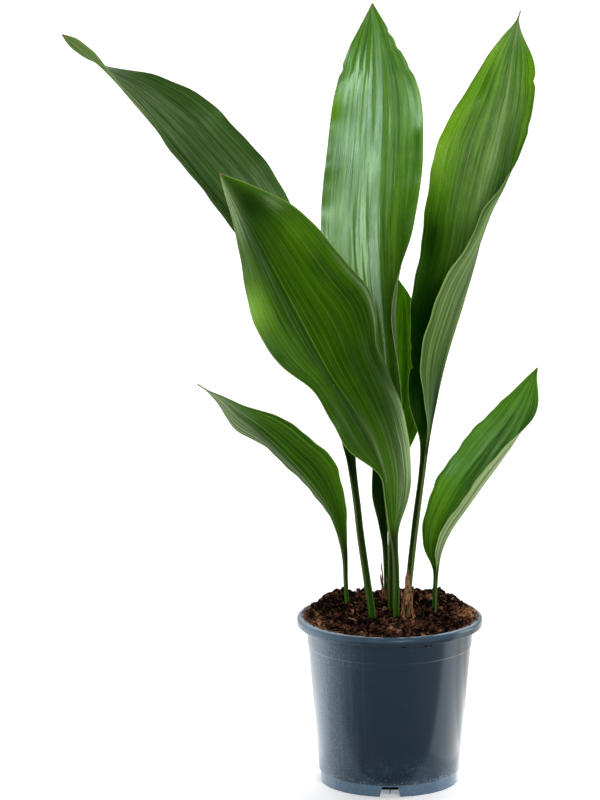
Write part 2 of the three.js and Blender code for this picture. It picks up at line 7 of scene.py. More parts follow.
import logging
import math
from dataclasses import dataclass
from enum import Enum
from typing import Union

import bpy
import numpy as np
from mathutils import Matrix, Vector, noise


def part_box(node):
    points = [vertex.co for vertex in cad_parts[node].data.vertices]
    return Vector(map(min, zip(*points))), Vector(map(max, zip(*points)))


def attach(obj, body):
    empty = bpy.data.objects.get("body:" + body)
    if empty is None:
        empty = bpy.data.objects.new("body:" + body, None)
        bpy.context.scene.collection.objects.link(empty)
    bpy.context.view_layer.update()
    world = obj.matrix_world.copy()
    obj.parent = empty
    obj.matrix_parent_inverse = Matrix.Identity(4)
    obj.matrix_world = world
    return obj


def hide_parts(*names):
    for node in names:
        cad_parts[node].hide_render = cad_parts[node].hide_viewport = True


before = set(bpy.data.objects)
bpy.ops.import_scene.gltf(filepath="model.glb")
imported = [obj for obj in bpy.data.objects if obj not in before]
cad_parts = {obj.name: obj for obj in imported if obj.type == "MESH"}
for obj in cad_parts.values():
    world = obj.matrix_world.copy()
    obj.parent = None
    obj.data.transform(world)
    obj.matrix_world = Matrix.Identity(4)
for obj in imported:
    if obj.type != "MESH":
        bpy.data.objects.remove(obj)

MM = 0.001
TURN = 2 * math.pi
LOG = logging.getLogger("cast_iron_plant")

Rgb = tuple[float, float, float]
Point = tuple[float, float, float]
Pair = tuple[float, float]
Faces = list[tuple[int, ...]]
Number = Union["Wire", float]
Colour = Union["Wire", Rgb]


# ---------- helpers ----------


def pot_axis() -> Pair:
    """Where the pot's axis stands in the frame, in metres."""
    low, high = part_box("pot")
    return (low.x + high.x) / 2, (low.y + high.y) / 2


AXIS_X, AXIS_Y = pot_axis()


def srgb(*display: float) -> Rgb:
    """A display colour as linear shares of light.

    Args:
        display: Its red, green and blue from 0 to 255.

    Returns:
        The linear colour.
    """
    shares = np.array(display) / 255
    linear = np.where(shares <= 0.04045, shares / 12.92, ((shares + 0.055) / 1.055) ** 2.4)
    return tuple(float(v) for v in linear)


def smooth_step(value: np.ndarray, low: float, high: float) -> np.ndarray:
    """A smooth rise from 0 at low to 1 at high, read at a value."""
    share = np.clip((value - low) / (high - low), 0, 1)
    return share * share * (3 - 2 * share)


def even_turns(count: int) -> np.ndarray:
    """Angles spaced evenly round a full turn, in radians."""
    return np.arange(count) * TURN / count


def around(radius: np.ndarray, turns: np.ndarray, height: np.ndarray) -> np.ndarray:
    """Points by distance from the pot's axis, angle round it and height, which broadcast together."""
    return np.stack(np.broadcast_arrays(radius * np.cos(turns), radius * np.sin(turns), height), -1)


def place_object(name: str, data: bpy.types.ID) -> bpy.types.Object:
    """Puts a mesh, a light or a camera in the scene as an object of that name.

    Args:
        name: The object's name.
        data: The mesh, light or camera.

    Returns:
        The object.
    """
    made = bpy.data.objects.new(name, data)
    bpy.context.scene.collection.objects.link(made)
    return made


def new_piece(
    name: str,
    points: np.ndarray,
    faces: Faces,
    material: bpy.types.Material | None = None,
    crease: float = 45,
) -> bpy.types.Object:
    """A smooth-shaded mesh object at the origin, with its place in its mesh.

    Args:
        name: The object's name.
        points: Its vertices about the pot's axis, in millimetres.
        faces: Its faces, outward and counterclockwise.
        material: Its finish.
        crease: Edges that turn by more than this stay sharp.

    Returns:
        The object, in the scene.
    """
    mesh = bpy.data.meshes.new(name)
    mesh.from_pydata((points.reshape(-1, 3) * MM + np.array([AXIS_X, AXIS_Y, 0.0])).tolist(), [], faces)
    mesh.validate()
    if material:
        mesh.materials.append(material)
    mesh.shade_smooth()
    mesh.set_sharp_from_angle(angle=math.radians(crease))
    return place_object(name, mesh)


def apply_modifier(piece: bpy.types.Object) -> None:
    """Turns a piece's one modifier into a plain mesh.

    Args:
        piece: The piece, whose modifier is removed.
    """
    graph = bpy.context.evaluated_depsgraph_get()
    mesh = bpy.data.meshes.new_from_object(piece.evaluated_get(graph))
    piece.modifiers.clear()
    piece.data = mesh


def paint(piece: bpy.types.Object, name: str, values: np.ndarray) -> None:
    """Stores one number for each vertex of a piece under a name that its finish reads."""
    attribute = piece.data.attributes.new(name, "FLOAT", "POINT")
    attribute.data.foreach_set("value", values.astype(np.float32).ravel())


def finish_piece(piece: bpy.types.Object, slot: str, *nodes: str) -> None:
    """Rides a piece on the plant's one body and hides the model's nodes that it stands for.

    Args:
        piece: The finished piece.
        slot: The record's material slot; not used.
        nodes: The model's nodes that it replaces.
    """
    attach(piece, "root")
    if nodes:
        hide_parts(*nodes)
    LOG.info("%s: %d faces", piece.name, len(piece.data.polygons))


def grid_faces(rows: int, columns: int, closed: bool, start: int = 0) -> Faces:
    """Quads of a grid whose rows run along and whose columns run to the right.

    Args:
        rows: How many rows of vertices there are.
        columns: How many vertices each row has.
        closed: Whether the last column joins the first.
        start: The first vertex's number.

    Returns:
        The quads, facing the side from which the columns run to the right and the rows upwards.
    """
    row, column = np.meshgrid(np.arange(rows - 1), np.arange(columns - (not closed)), indexing="ij")
    near, beside = row * columns, (column + 1) % columns
    corners = [near + column, near + beside, near + columns + beside, near + columns + column]
    return [tuple(quad) for quad in (start + np.stack(corners, -1).reshape(-1, 4)).tolist()]


def turned_faces(rings: int, segments: int) -> Faces:
    """Faces of a turned body: closed rings, with a flat face over the first and the last.

    Args:
        rings: How many rings of points there are.
        segments: Points in each ring.

    Returns:
        The faces, as numbers of points.
    """
    last = (rings - 1) * segments
    caps = [tuple(range(segments - 1, -1, -1)), tuple(range(last, last + segments))]
    return grid_faces(rings, segments, closed=True) + caps


# ---------- node trees ----------


class Tree:
    """A node tree, with a short way to add and feed a node."""

    def __init__(self, tree: bpy.types.NodeTree) -> None:
        """Takes up a tree that Blender has made."""
        self.tree = tree

    def feed(self, socket: bpy.types.NodeSocket, value: object) -> None:
        """Links an input to a wire, or sets its number, colour or other value.

        Args:
            socket: The input.
            value: What goes into it.
        """
        if isinstance(value, Wire):
            self.tree.links.new(value.socket, socket)
        else:
            socket.default_value = (*value, 1.0) if socket.type == "RGBA" else value

    def add(self, kind: str, *inputs: object, out: str = "", **values: object) -> "Wire":
        """Adds a node.

        Args:
            kind: The node's type.
            inputs: What its first inputs get, in order.
            out: The output wanted, if it isn't the first.
            values: Its properties, and other inputs by name with a capital letter and with _ for a space.

        Returns:
            The output.
        """
        node = self.tree.nodes.new(kind)
        for name in filter(str.islower, values):
            setattr(node, name, values[name])
        sockets = [socket for socket in node.inputs if socket.enabled]
        for socket, value in zip(sockets, inputs):
            self.feed(socket, value)
        for socket in sockets:
            name = socket.name.replace(" ", "_")
            if name in values:
                self.feed(socket, values[name])
        return Wire(self, next(s for s in node.outputs if s.enabled and out in ("", s.name)))


@dataclass(frozen=True)
class Wire:
    """What a node gives out. Each sum, product or other step from it adds a node to its tree."""

    tree: Tree
    socket: bpy.types.NodeSocket

    def math(self, operation: str, *others: Number) -> "Wire":
        """This value, and others after it, through a Math node."""
        return self.tree.add("ShaderNodeMath", self, *others, operation=operation)

    def __add__(self, other: Number) -> "Wire":
        """The sum."""
        return self.math("ADD", other)

    def __sub__(self, other: Number) -> "Wire":
        """The difference."""
        return self.math("SUBTRACT", other)

    def __mul__(self, other: Number) -> "Wire":
        """The product."""
        return self.math("MULTIPLY", other)

    def size(self) -> "Wire":
        """The value without its sign."""
        return self.math("ABSOLUTE")

    def most(self, other: Number) -> "Wire":
        """The greater of this and another value."""
        return self.math("MAXIMUM", other)

    def span(self, low: float, high: float, start: float = 0.0, end: float = 1.0) -> "Wire":
        """A smooth passage from start to end while this value goes from low to high."""
        limits = (low, high, start, end)
        return self.tree.add("ShaderNodeMapRange", self, *limits, interpolation_type="SMOOTHSTEP")

    def mix(self, first: Colour, second: Colour) -> "Wire":
        """The first colour where this value is 0 and the second where it is 1."""
        return self.tree.add("ShaderNodeMix", self, first, second, data_type="RGBA")

    def relief(self, depth: float, **below: "Wire") -> "Wire":
        """The normal bumped by this share of a depth, over the coarser relief that Normal names."""
        return self.tree.add("ShaderNodeBump", Height=self, Distance=depth * MM, **below)


class Sheet(Tree):
    """The node tree of a new material with one Principled shader."""

    def __init__(self, name: str) -> None:
        """Starts the material of that name.

        Args:
            name: The material's name.
        """
        self.material = bpy.data.materials.new(name)
        self.material.use_nodes = True
        super().__init__(self.material.node_tree)

    def read(self, name: str) -> Wire:
        """The value that a piece's vertices hold under a name."""
        return self.add("ShaderNodeAttribute", out="Fac", attribute_name=name)

    def place(self) -> Wire:
        """Object coordinates, in metres."""
        return self.add("ShaderNodeTexCoord", out="Object")

    def vector(self, *parts: Number) -> Wire:
        """A vector from two or three numbers."""
        return self.add("ShaderNodeCombineXYZ", *parts)

    def noise(self, vector: Wire, scale: float, detail: float = 2.0, roughness: float = 0.5) -> Wire:
        """Noise from about 0 to 1, with scale waves to a unit and so many finer layers of such strength."""
        return self.add("ShaderNodeTexNoise", Vector=vector, Scale=scale, Detail=detail, Roughness=roughness)

    def specks(self, scale: float, inner: float, outer: float) -> Wire:
        """Scattered round specks, 1 within the inner radius and 0 past the outer one."""
        away = self.add("ShaderNodeTexVoronoi", Vector=self.place(), Scale=scale)
        return away.span(inner, outer, 1.0, 0.0)

    def surface(self, **values: object) -> bpy.types.Material:
        """Feeds the shader.

        Args:
            values: What its inputs get, by name with _ for a space.

        Returns:
            The material.
        """
        for name, value in values.items():
            self.feed(self.tree.nodes["Principled BSDF"].inputs[name.replace("_", " ")], value)
        return self.material


# ---------- finishes ----------


@dataclass(frozen=True)
class LeafFinish:
    """Skin of one leaf: deep and full green in long streaks, fine veins, a paler back and a green stem, with
    painted light, painted sheen and painted shade laid on in spots.

    Counts are lines or streaks in one half of the blade. Depths are in millimetres.
    """

    name: str
    seed: float
    deep: Rgb = srgb(28, 60, 1)
    full: Rgb = srgb(60, 108, 4)
    # sunlit: painted light, the yellow-green glow where light shines through the blade
    sunlit: Rgb = srgb(120, 176, 10)
    vein: Rgb = srgb(112, 156, 48)
    # bloom: a pale whitish green painted where the blade shows sheen
    bloom: Rgb = srgb(158, 178, 136)
    shaded: Rgb = srgb(8, 36, 0)
    back_deep: Rgb = srgb(50, 80, 28)
    back_full: Rgb = srgb(84, 114, 52)
    back_vein: Rgb = srgb(136, 158, 100)
    stem_deep: Rgb = srgb(6, 20, 0)
    stem_full: Rgb = srgb(30, 60, 10)
    stem_foot: Rgb = srgb(40, 92, 6)
    rim: Rgb = srgb(140, 168, 84)
    dry: Rgb = srgb(120, 84, 50)
    sheen: Rgb = (0.5, 0.9, 0.22)
    matt_sheen: Rgb = (0.1, 0.18, 0.03)
    roughness: float = 0.34
    patchy: float = 0.12
    wax_count: float = 5.0
    wax_length: float = 46.0
    back_roughness: float = 0.42
    stem_roughness: float = 0.5
    gloss: float = 0.34
    broad_count: float = 4.5
    broad_length: float = 210.0
    pleat_depth: float = 0.7
    streak_count: float = 12.0
    streak_length: float = 90.0
    streak_depth: float = 0.25
    fine_count: float = 36.0
    fine_length: float = 120.0
    thread_depth: float = 0.06
    grain_scale: float = 820.0
    grain_depth: float = 0.04
    vein_count: float = 11.0
    vein_strength: float = 0.3
    line_strength: float = 0.18
    back_count: float = 10.0
    back_strength: float = 0.48

    def build(self) -> bpy.types.Material:
        """Makes the material.

        Returns:
            The material.
        """
        sheet = LeafSheet(self)
        back, blade = sheet.read("back"), sheet.read("blade")
        skin = back.mix(self.upper(sheet), self.under(sheet))
        skin = sheet.read("shade").mix(skin, self.shaded)
        # painted sheen: a pale band along the midrib on the back, laid over the painted shade
        keel = sheet.across.size().span(0.02, 0.12, 0.45, 0.0) * back
        skin = blade.mix(self.stalk(sheet), keel.mix(skin, self.back_vein))
        edge = sheet.read("margin").span(0.2, 0.8, 0.5, 0.0) * blade.span(0.0, 1.0, 0.4, 1.0)
        skin = edge.mix(skin, self.rim)
        rare = sheet.noise(sheet.place(), 38.0, 1.0).span(0.62, 0.68)
        skin = (sheet.specks(90.0, 0.04, 0.075) * rare).mix(skin, self.dry)
        skin = sheet.read("reach").span(0.985, 1.0, 0.0, 0.7).mix(skin, self.dry)
        relief = (sheet.broad * blade).relief(self.pleat_depth)
        depths = (self.streak_depth, self.thread_depth, self.grain_depth)
        for layer, depth in zip((sheet.middle, sheet.fine, sheet.grain), depths):
            relief = layer.relief(depth, Normal=relief)
        shiny, dull = self.roughness - self.patchy, self.roughness + self.patchy
        wax = sheet.streaks(self.wax_count, self.wax_length).span(0.35, 0.65, shiny, dull)
        matt = back * self.back_roughness + (sheet.middle * 0.12 + wax)
        less = sheet.read("dull").most(blade * -0.6 + 0.6).most(back * 0.6)
        return sheet.surface(
            Base_Color=skin,
            Roughness=matt.most(blade.span(0.0, 1.0, self.stem_roughness, 0.0)),
            Normal=relief,
            Specular_IOR_Level=self.gloss,
            Specular_Tint=less.mix(self.sheen, self.matt_sheen),
        )

    def upper(self, sheet: "LeafSheet") -> Wire:
        """Colour of the blade's upper face.

        Args:
            sheet: The leaf's nodes.

        Returns:
            The colour.
        """
        middle, fine = sheet.middle, sheet.fine
        mottle = sheet.noise(sheet.place(), 60.0, 3.0, 0.6)
        depth = sheet.broad * 0.5 + mottle * 0.15 + middle * 0.35
        face = depth.span(0.38, 0.62).mix(self.deep, self.full)
        # painted light: yellow-green where light shines through the blade, in the spots that the plan places
        face = (sheet.read("sun") * 0.9).mix(face, self.sunlit)
        # painted sheen: pale whitish-green streaks in the spots that the plan places
        painted_sheen_share = sheet.read("bloom") * (middle.span(0.42, 0.6, 0.3, 1.0) * fine.span(0.4, 0.58, 0.5, 1.0))
        face = painted_sheen_share.math("MINIMUM", 1.0).mix(face, self.bloom)
        face = fine.span(0.5, 0.68, 0.0, self.line_strength).mix(face, self.vein)
        face = fine.span(0.3, 0.48, 2 * self.line_strength, 0.0).mix(face, self.shaded)
        face = sheet.grain.span(0.3, 0.5, 0.3, 0.0).mix(face, self.deep)
        for count, width, share in ((self.vein_count, 0.14, 1.0), (2 * self.vein_count, 0.25, 0.3)):
            face = (sheet.lines(count, width) * (self.vein_strength * share)).mix(face, self.vein)
        midrib = sheet.across.size().span(0.0, 0.018, self.vein_strength, 0.0)
        return midrib.mix(face, self.vein)

    def under(self, sheet: "LeafSheet") -> Wire:
        """Colour of the blade's paler back, with whitish veins.

        Args:
            sheet: The leaf's nodes.

        Returns:
            The colour.
        """
        back = sheet.broad.span(0.35, 0.65).mix(self.back_deep, self.back_full)
        back = sheet.fine.span(0.48, 0.66, 0.0, 0.4).mix(back, self.back_vein)
        back = sheet.fine.span(0.28, 0.44, 0.5, 0.0).mix(back, self.back_deep)
        return (sheet.lines(self.back_count, 0.3) * self.back_strength).mix(back, self.back_vein)

    def stalk(self, sheet: "LeafSheet") -> Wire:
        """Colour of the grooved stem, brighter near the soil, with painted shade darkening it higher up.

        Args:
            sheet: The leaf's nodes.

        Returns:
            The colour.
        """
        stem = sheet.streaks(2.2, 160.0).span(0.42, 0.6).mix(self.stem_deep, self.stem_full)
        stem = sheet.fine.span(0.5, 0.7, 0.0, 0.2).mix(stem, self.vein)
        # painted shade: the stem darkens higher up, under the blades
        stem = sheet.along.span(45.0, 95.0, 0.0, 0.75).mix(stem, self.stem_deep)
        stem = sheet.along.span(14.0, 60.0, 0.6, 0.0).mix(stem, self.stem_foot)
        return sheet.grain.span(0.3, 0.5, 0.35, 0.0).mix(stem, self.stem_deep)


class LeafSheet(Sheet):
    """The node tree of a leaf's skin, with the streaks that its colours and its relief share."""

    SEED_STEP = 7.3
    DRIFT_LENGTH = 700.0
    SWELL_LENGTH = 80.0

    def __init__(self, finish: LeafFinish) -> None:
        """Starts the material and makes the streaks that a finish asks for.

        Args:
            finish: The finish, which gives the counts and lengths of the streaks.
        """
        super().__init__(finish.name)
        self.seed = finish.seed
        self.across = self.read("across")
        self.along = self.read("along")
        self.broad = self.streaks(finish.broad_count, finish.broad_length)
        self.middle = self.streaks(finish.streak_count, finish.streak_length)
        self.fine = self.streaks(finish.fine_count, finish.fine_length)
        self.grain = self.noise(self.place(), finish.grain_scale, 2.0, 0.6)

    def streaks(self, count: float, length: float, detail: float = 3.0) -> Wire:
        """Noise in streaks along the leaf, so many to a half of the blade and each about a length long."""
        spot = self.vector(self.across * count, self.along * (1 / length), self.seed * self.SEED_STEP)
        return self.noise(spot, 1.0, detail, 0.6)

    def lines(self, count: float, width: float) -> Wire:
        """Thin lines that run the length of the leaf, unevenly spaced and stronger in places.

        Args:
            count: How many lines one half has.
            width: The share of a line's spacing that the line takes.

        Returns:
            1 on a strong line and 0 between lines.
        """
        drift = self.streaks(0.6 * count, self.DRIFT_LENGTH, detail=0.0)
        away = ((drift * 1.3 + self.across * count).math("FRACT") - 0.5).size()
        swell = self.streaks(count, self.SWELL_LENGTH).span(0.36, 0.62, 0.3, 1.0)
        return away.span(0.0, width, 1.0, 0.0) * swell


@dataclass(frozen=True)
class PotFinish:
    """Blue-grey moulded plastic with a satin face, dried water marks, fine scuffs and crumbs of dirt, a paler
    foot, a painted highlight on the lip's top and painted sheen towards the left edge.

    Depths are in millimetres. The edges of the dusty, sheen, pale and dirty zones are in metres, to the right
    of the pot's axis for the left side's and above its foot for the others.
    """

    body: Rgb = srgb(7, 21, 33)
    pale_blue: Rgb = srgb(74, 98, 118)
    # paler blue for the painted highlight on the lip's top and for the paler foot
    dust_and_sheen: Rgb = srgb(142, 168, 190)
    # dust colour, also used for the painted sheen towards the left edge
    dirt: Rgb = srgb(98, 66, 44)
    gloss: float = 0.3
    gloss_tint: Rgb = (0.62, 0.84, 1.0)
    grain_scale: float = 650.0
    grain_depth: float = 0.012
    ripple_scale: float = 16.0
    ripple_depth: float = 0.1
    scuff_rates: Pair = (30.0, 160.0)
    drip_rates: Pair = (16.0, 7.0)
    dusty_left: Pair = (-0.062, -0.008)
    # edges of the painted sheen towards the left edge
    powdered_left: Pair = (-0.066, -0.02)
    dusty_foot: Pair = (0.002, 0.04)
    dusty_step: Pair = (0.0075, 0.009)
    clean_above_step: Pair = (0.0095, 0.014)
    # edges of the painted highlight on the lip's top
    highlit_lip: Pair = (0.1235, 0.1275)
    pale_foot: Pair = (0.0085, 0.0095)
    dirty_lip: Pair = (0.112, 0.12)
    dirty_foot: Pair = (0.006, 0.014)

    def build(self) -> bpy.types.Material:
        """Makes the material.

        Returns:
            The material.
        """
        sheet = Sheet("pot_plastic")
        place = sheet.place()
        x, y, z = (sheet.add("ShaderNodeSeparateXYZ", place, out=axis) for axis in "XYZ")
        sideways = x - AXIS_X
        bearing = (y - AXIS_Y).math("ARCTAN2", sideways)
        cloud = sheet.noise(place, 24.0, 5.0, 0.62)
        grain = sheet.noise(place, self.grain_scale, 3.0, 0.7)
        scuff_lane, drip_lane = (
            sheet.vector(bearing * turn, z * rise) for turn, rise in (self.scuff_rates, self.drip_rates)
        )
        scuff = sheet.noise(scuff_lane, 1.0, 3.0, 0.7)
        drip = sheet.noise(drip_lane, 1.0, 4.0, 0.6)
        left = sideways.span(*self.dusty_left, 1.0, 0.0)
        # painted sheen: a grainy pale haze in the dust colour that grows towards the left edge
        left_sheen = sideways.span(*self.powdered_left, 0.42, 0.0)
        step_edge = z.span(*self.dusty_step) * z.span(*self.clean_above_step, 1.0, 0.0)
        reach = z.span(*self.dusty_foot, 1.0, 0.0) * 0.55 + left * 0.4 + step_edge * 0.7
        haze = cloud.span(0.42, 0.75) * grain.span(0.3, 0.65, 0.15, 0.45)
        dusty = (haze + grain.span(0.58, 0.72) * 0.5) * reach
        scuffs = scuff.span(0.68, 0.74) * (reach * 0.5 + 0.1)
        grimy = dusty + scuffs + drip.span(0.52, 0.75) * (left * 0.16)
        # painted highlight: the lip's top is painted paler where it faces up; the foot ring is paler too
        pale_lip_and_foot = z.span(*self.highlit_lip).most(z.span(*self.pale_foot, 1.4, 0.0))
        skin = (pale_lip_and_foot * 0.6).mix(self.body, self.pale_blue)
        # painted sheen laid over the body towards the left edge
        skin = (left_sheen * grain.span(0.3, 0.7, 0.6, 1.0)).mix(skin, self.dust_and_sheen)
        skin = grimy.mix(skin, self.dust_and_sheen)
        where = sheet.noise(place, 60.0, 2.0).span(0.6, 0.66)
        ends = z.span(*self.dirty_lip).most(z.span(*self.dirty_foot, 1.0, 0.0))
        skin = (sheet.specks(230.0, 0.1, 0.17) * where * ends).mix(skin, self.dirt)
        ripple = sheet.noise(place, self.ripple_scale, 1.0).relief(self.ripple_depth)
        return sheet.surface(
            Base_Color=skin,
            Roughness=left_sheen * 0.4 + (cloud * 0.1 + 0.12 + grimy * 0.5),
            Normal=grain.relief(self.grain_depth, Normal=ripple),
            Specular_IOR_Level=self.gloss,
            Specular_Tint=self.gloss_tint,
        )


@dataclass(frozen=True)
class EarthFinish:
    """Dark peaty soil, or its crumbs, chips and fibres, from nearly black to tan by each grain's tone.

    Painted shade darkens the hollows of its relief, and dims its pale grains and patches there.
    """

    name: str
    # dark and middle serve the bare surface: near black, partly dark peat and partly painted shade of the gaps
    # between grains
    dark: Rgb = srgb(3, 2, 2)
    middle: Rgb = srgb(26, 16, 12)
    light: Rgb = srgb(150, 108, 74)
    paleness: float = 0.0
    clod_scale: float = 330.0
    clod_depth: float = 1.8
    grit_scale: float = 900.0
    grit_depth: float = 0.7

    def build(self) -> bpy.types.Material:
        """Makes the material.

        Returns:
            The material.
        """
        sheet = Sheet(self.name)
        tone = sheet.read("tone")
        clods = sheet.noise(sheet.place(), self.clod_scale, 4.0, 0.65)
        grit = sheet.noise(sheet.place(), self.grit_scale, 2.0, 0.7)
        # painted shade: darker where the clod and grit noise of the relief is low, in its hollows
        shade = tone * 0.15 + (clods * 0.55 + grit * 0.3)
        skin = shade.span(0.47, 0.57).mix(self.dark, self.middle)
        bright = tone.span(0.86, 1.0, 0.0, 0.4) + sheet.read("pale") * 1.2
        # painted shade also dims the pale grains and patches in the hollows
        bright = bright * shade.span(0.44, 0.56, 0.15, 1.0) + self.paleness
        skin = bright.math("MINIMUM", 1.0).mix(skin, self.light)
        relief = grit.relief(self.grit_depth, Normal=clods.relief(self.clod_depth))
        return sheet.surface(Base_Color=skin, Roughness=0.9, Normal=relief, Specular_IOR_Level=0.04)


@dataclass(frozen=True)
class PaperFinish:
    """Dry scale leaf: tan and reddish-brown streaks that run up it, with rotten patches."""

    tan: Rgb = srgb(184, 140, 100)
    red: Rgb = srgb(112, 64, 42)
    dark: Rgb = srgb(34, 20, 14)
    ridge_depth: float = 0.6

    def build(self) -> bpy.types.Material:
        """Makes the material.

        Returns:
            The material.
        """
        sheet = Sheet("scale_leaf_paper")
        lane = sheet.vector(sheet.read("across") * 3.0, sheet.read("along") * 0.07)
        streak = sheet.noise(lane, 1.0, 4.0, 0.75)
        patch = sheet.noise(sheet.place(), 230.0, 4.0, 0.65)
        skin = streak.span(0.4, 0.6).mix(self.red, self.tan)
        skin = (patch.span(0.48, 0.62) * 0.85).mix(skin, self.dark)
        ridges = streak.relief(self.ridge_depth)
        return sheet.surface(Base_Color=skin, Roughness=0.8, Normal=ridges, Specular_IOR_Level=0.25)


# ---------- leaves ----------


def skin_faces(rows: int, columns: int) -> Faces:
    """Faces of a closed skin whose upper grid comes first and whose lower grid comes second.

    Args:
        rows: How many rows each grid has.
        columns: How many vertices each row has.

    Returns:
        The upper faces, the lower faces, the margins and both ends.
    """
    under = rows * columns
    faces = grid_faces(rows, columns, closed=False)
    faces += [quad[::-1] for quad in grid_faces(rows, columns, closed=False, start=under)]
    for near in range(0, under - columns, columns):
        far = near + columns
        faces.append((near + under, near, far, far + under))
        near, far = far - 1, far + columns - 1
        faces.append((near, near + under, far + under, far))
    tip = under - columns
    for c in range(columns - 1):
        faces.append((c + under, c + 1 + under, c + 1, c))
        faces.append((tip + c, tip + c + 1, tip + c + 1 + under, tip + c + under))
    return faces


@dataclass(frozen=True)
class Station:
    """One section of a blade: the midrib's place, the bearing that the blade faces, and its two halves.

    A half is its width, its fold out of the blade's plane at the midrib and its further curl to the margin.
    """

    place: Point
    facing: float
    left: Point
    right: Point


@dataclass(frozen=True)
class Nick:
    """A bite out of a margin: its side, its place along the blade, its depth and its half length."""

    side: int
    reach: float
    depth: float
    half_length: float


@dataclass(frozen=True)
class Spot:
    """A soft spot on a blade: its place across and along, its spreads and its strength."""

    across: float
    reach: float
    wide: float
    long: float
    strength: float

    def tint(self, across: np.ndarray, reach: np.ndarray) -> np.ndarray:
        """How strongly it tints each place."""
        away = ((across - self.across) / self.wide) ** 2 + ((reach - self.reach) / self.long) ** 2
        return self.strength * np.exp(-away)


@dataclass(frozen=True)
class LeafPlan:
    """One leaf: its stem's path, its blade's stations, its waves' height and length, its nicks, and its spots
    of painted light through the blade, painted sheen, painted shade and duller reflection.
    """

    node: str
    stem_half: float
    ripple: Pair
    stem: list[Point]
    blade: list[Station]
    finish: LeafFinish
    nicks: tuple[Nick, ...] = ()
    suns: tuple[Spot, ...] = ()
    blooms: tuple[Spot, ...] = ()
    shades: tuple[Spot, ...] = ()
    dulls: tuple[Spot, ...] = ()


@dataclass(frozen=True)
class Sections:
    """A leaf's fine sections: station rows, unit vectors up and right, run, reach and share of blade."""

    row: np.ndarray
    up: np.ndarray
    right: np.ndarray
    run: np.ndarray
    reach: np.ndarray
    blade: np.ndarray
    blade_length: float


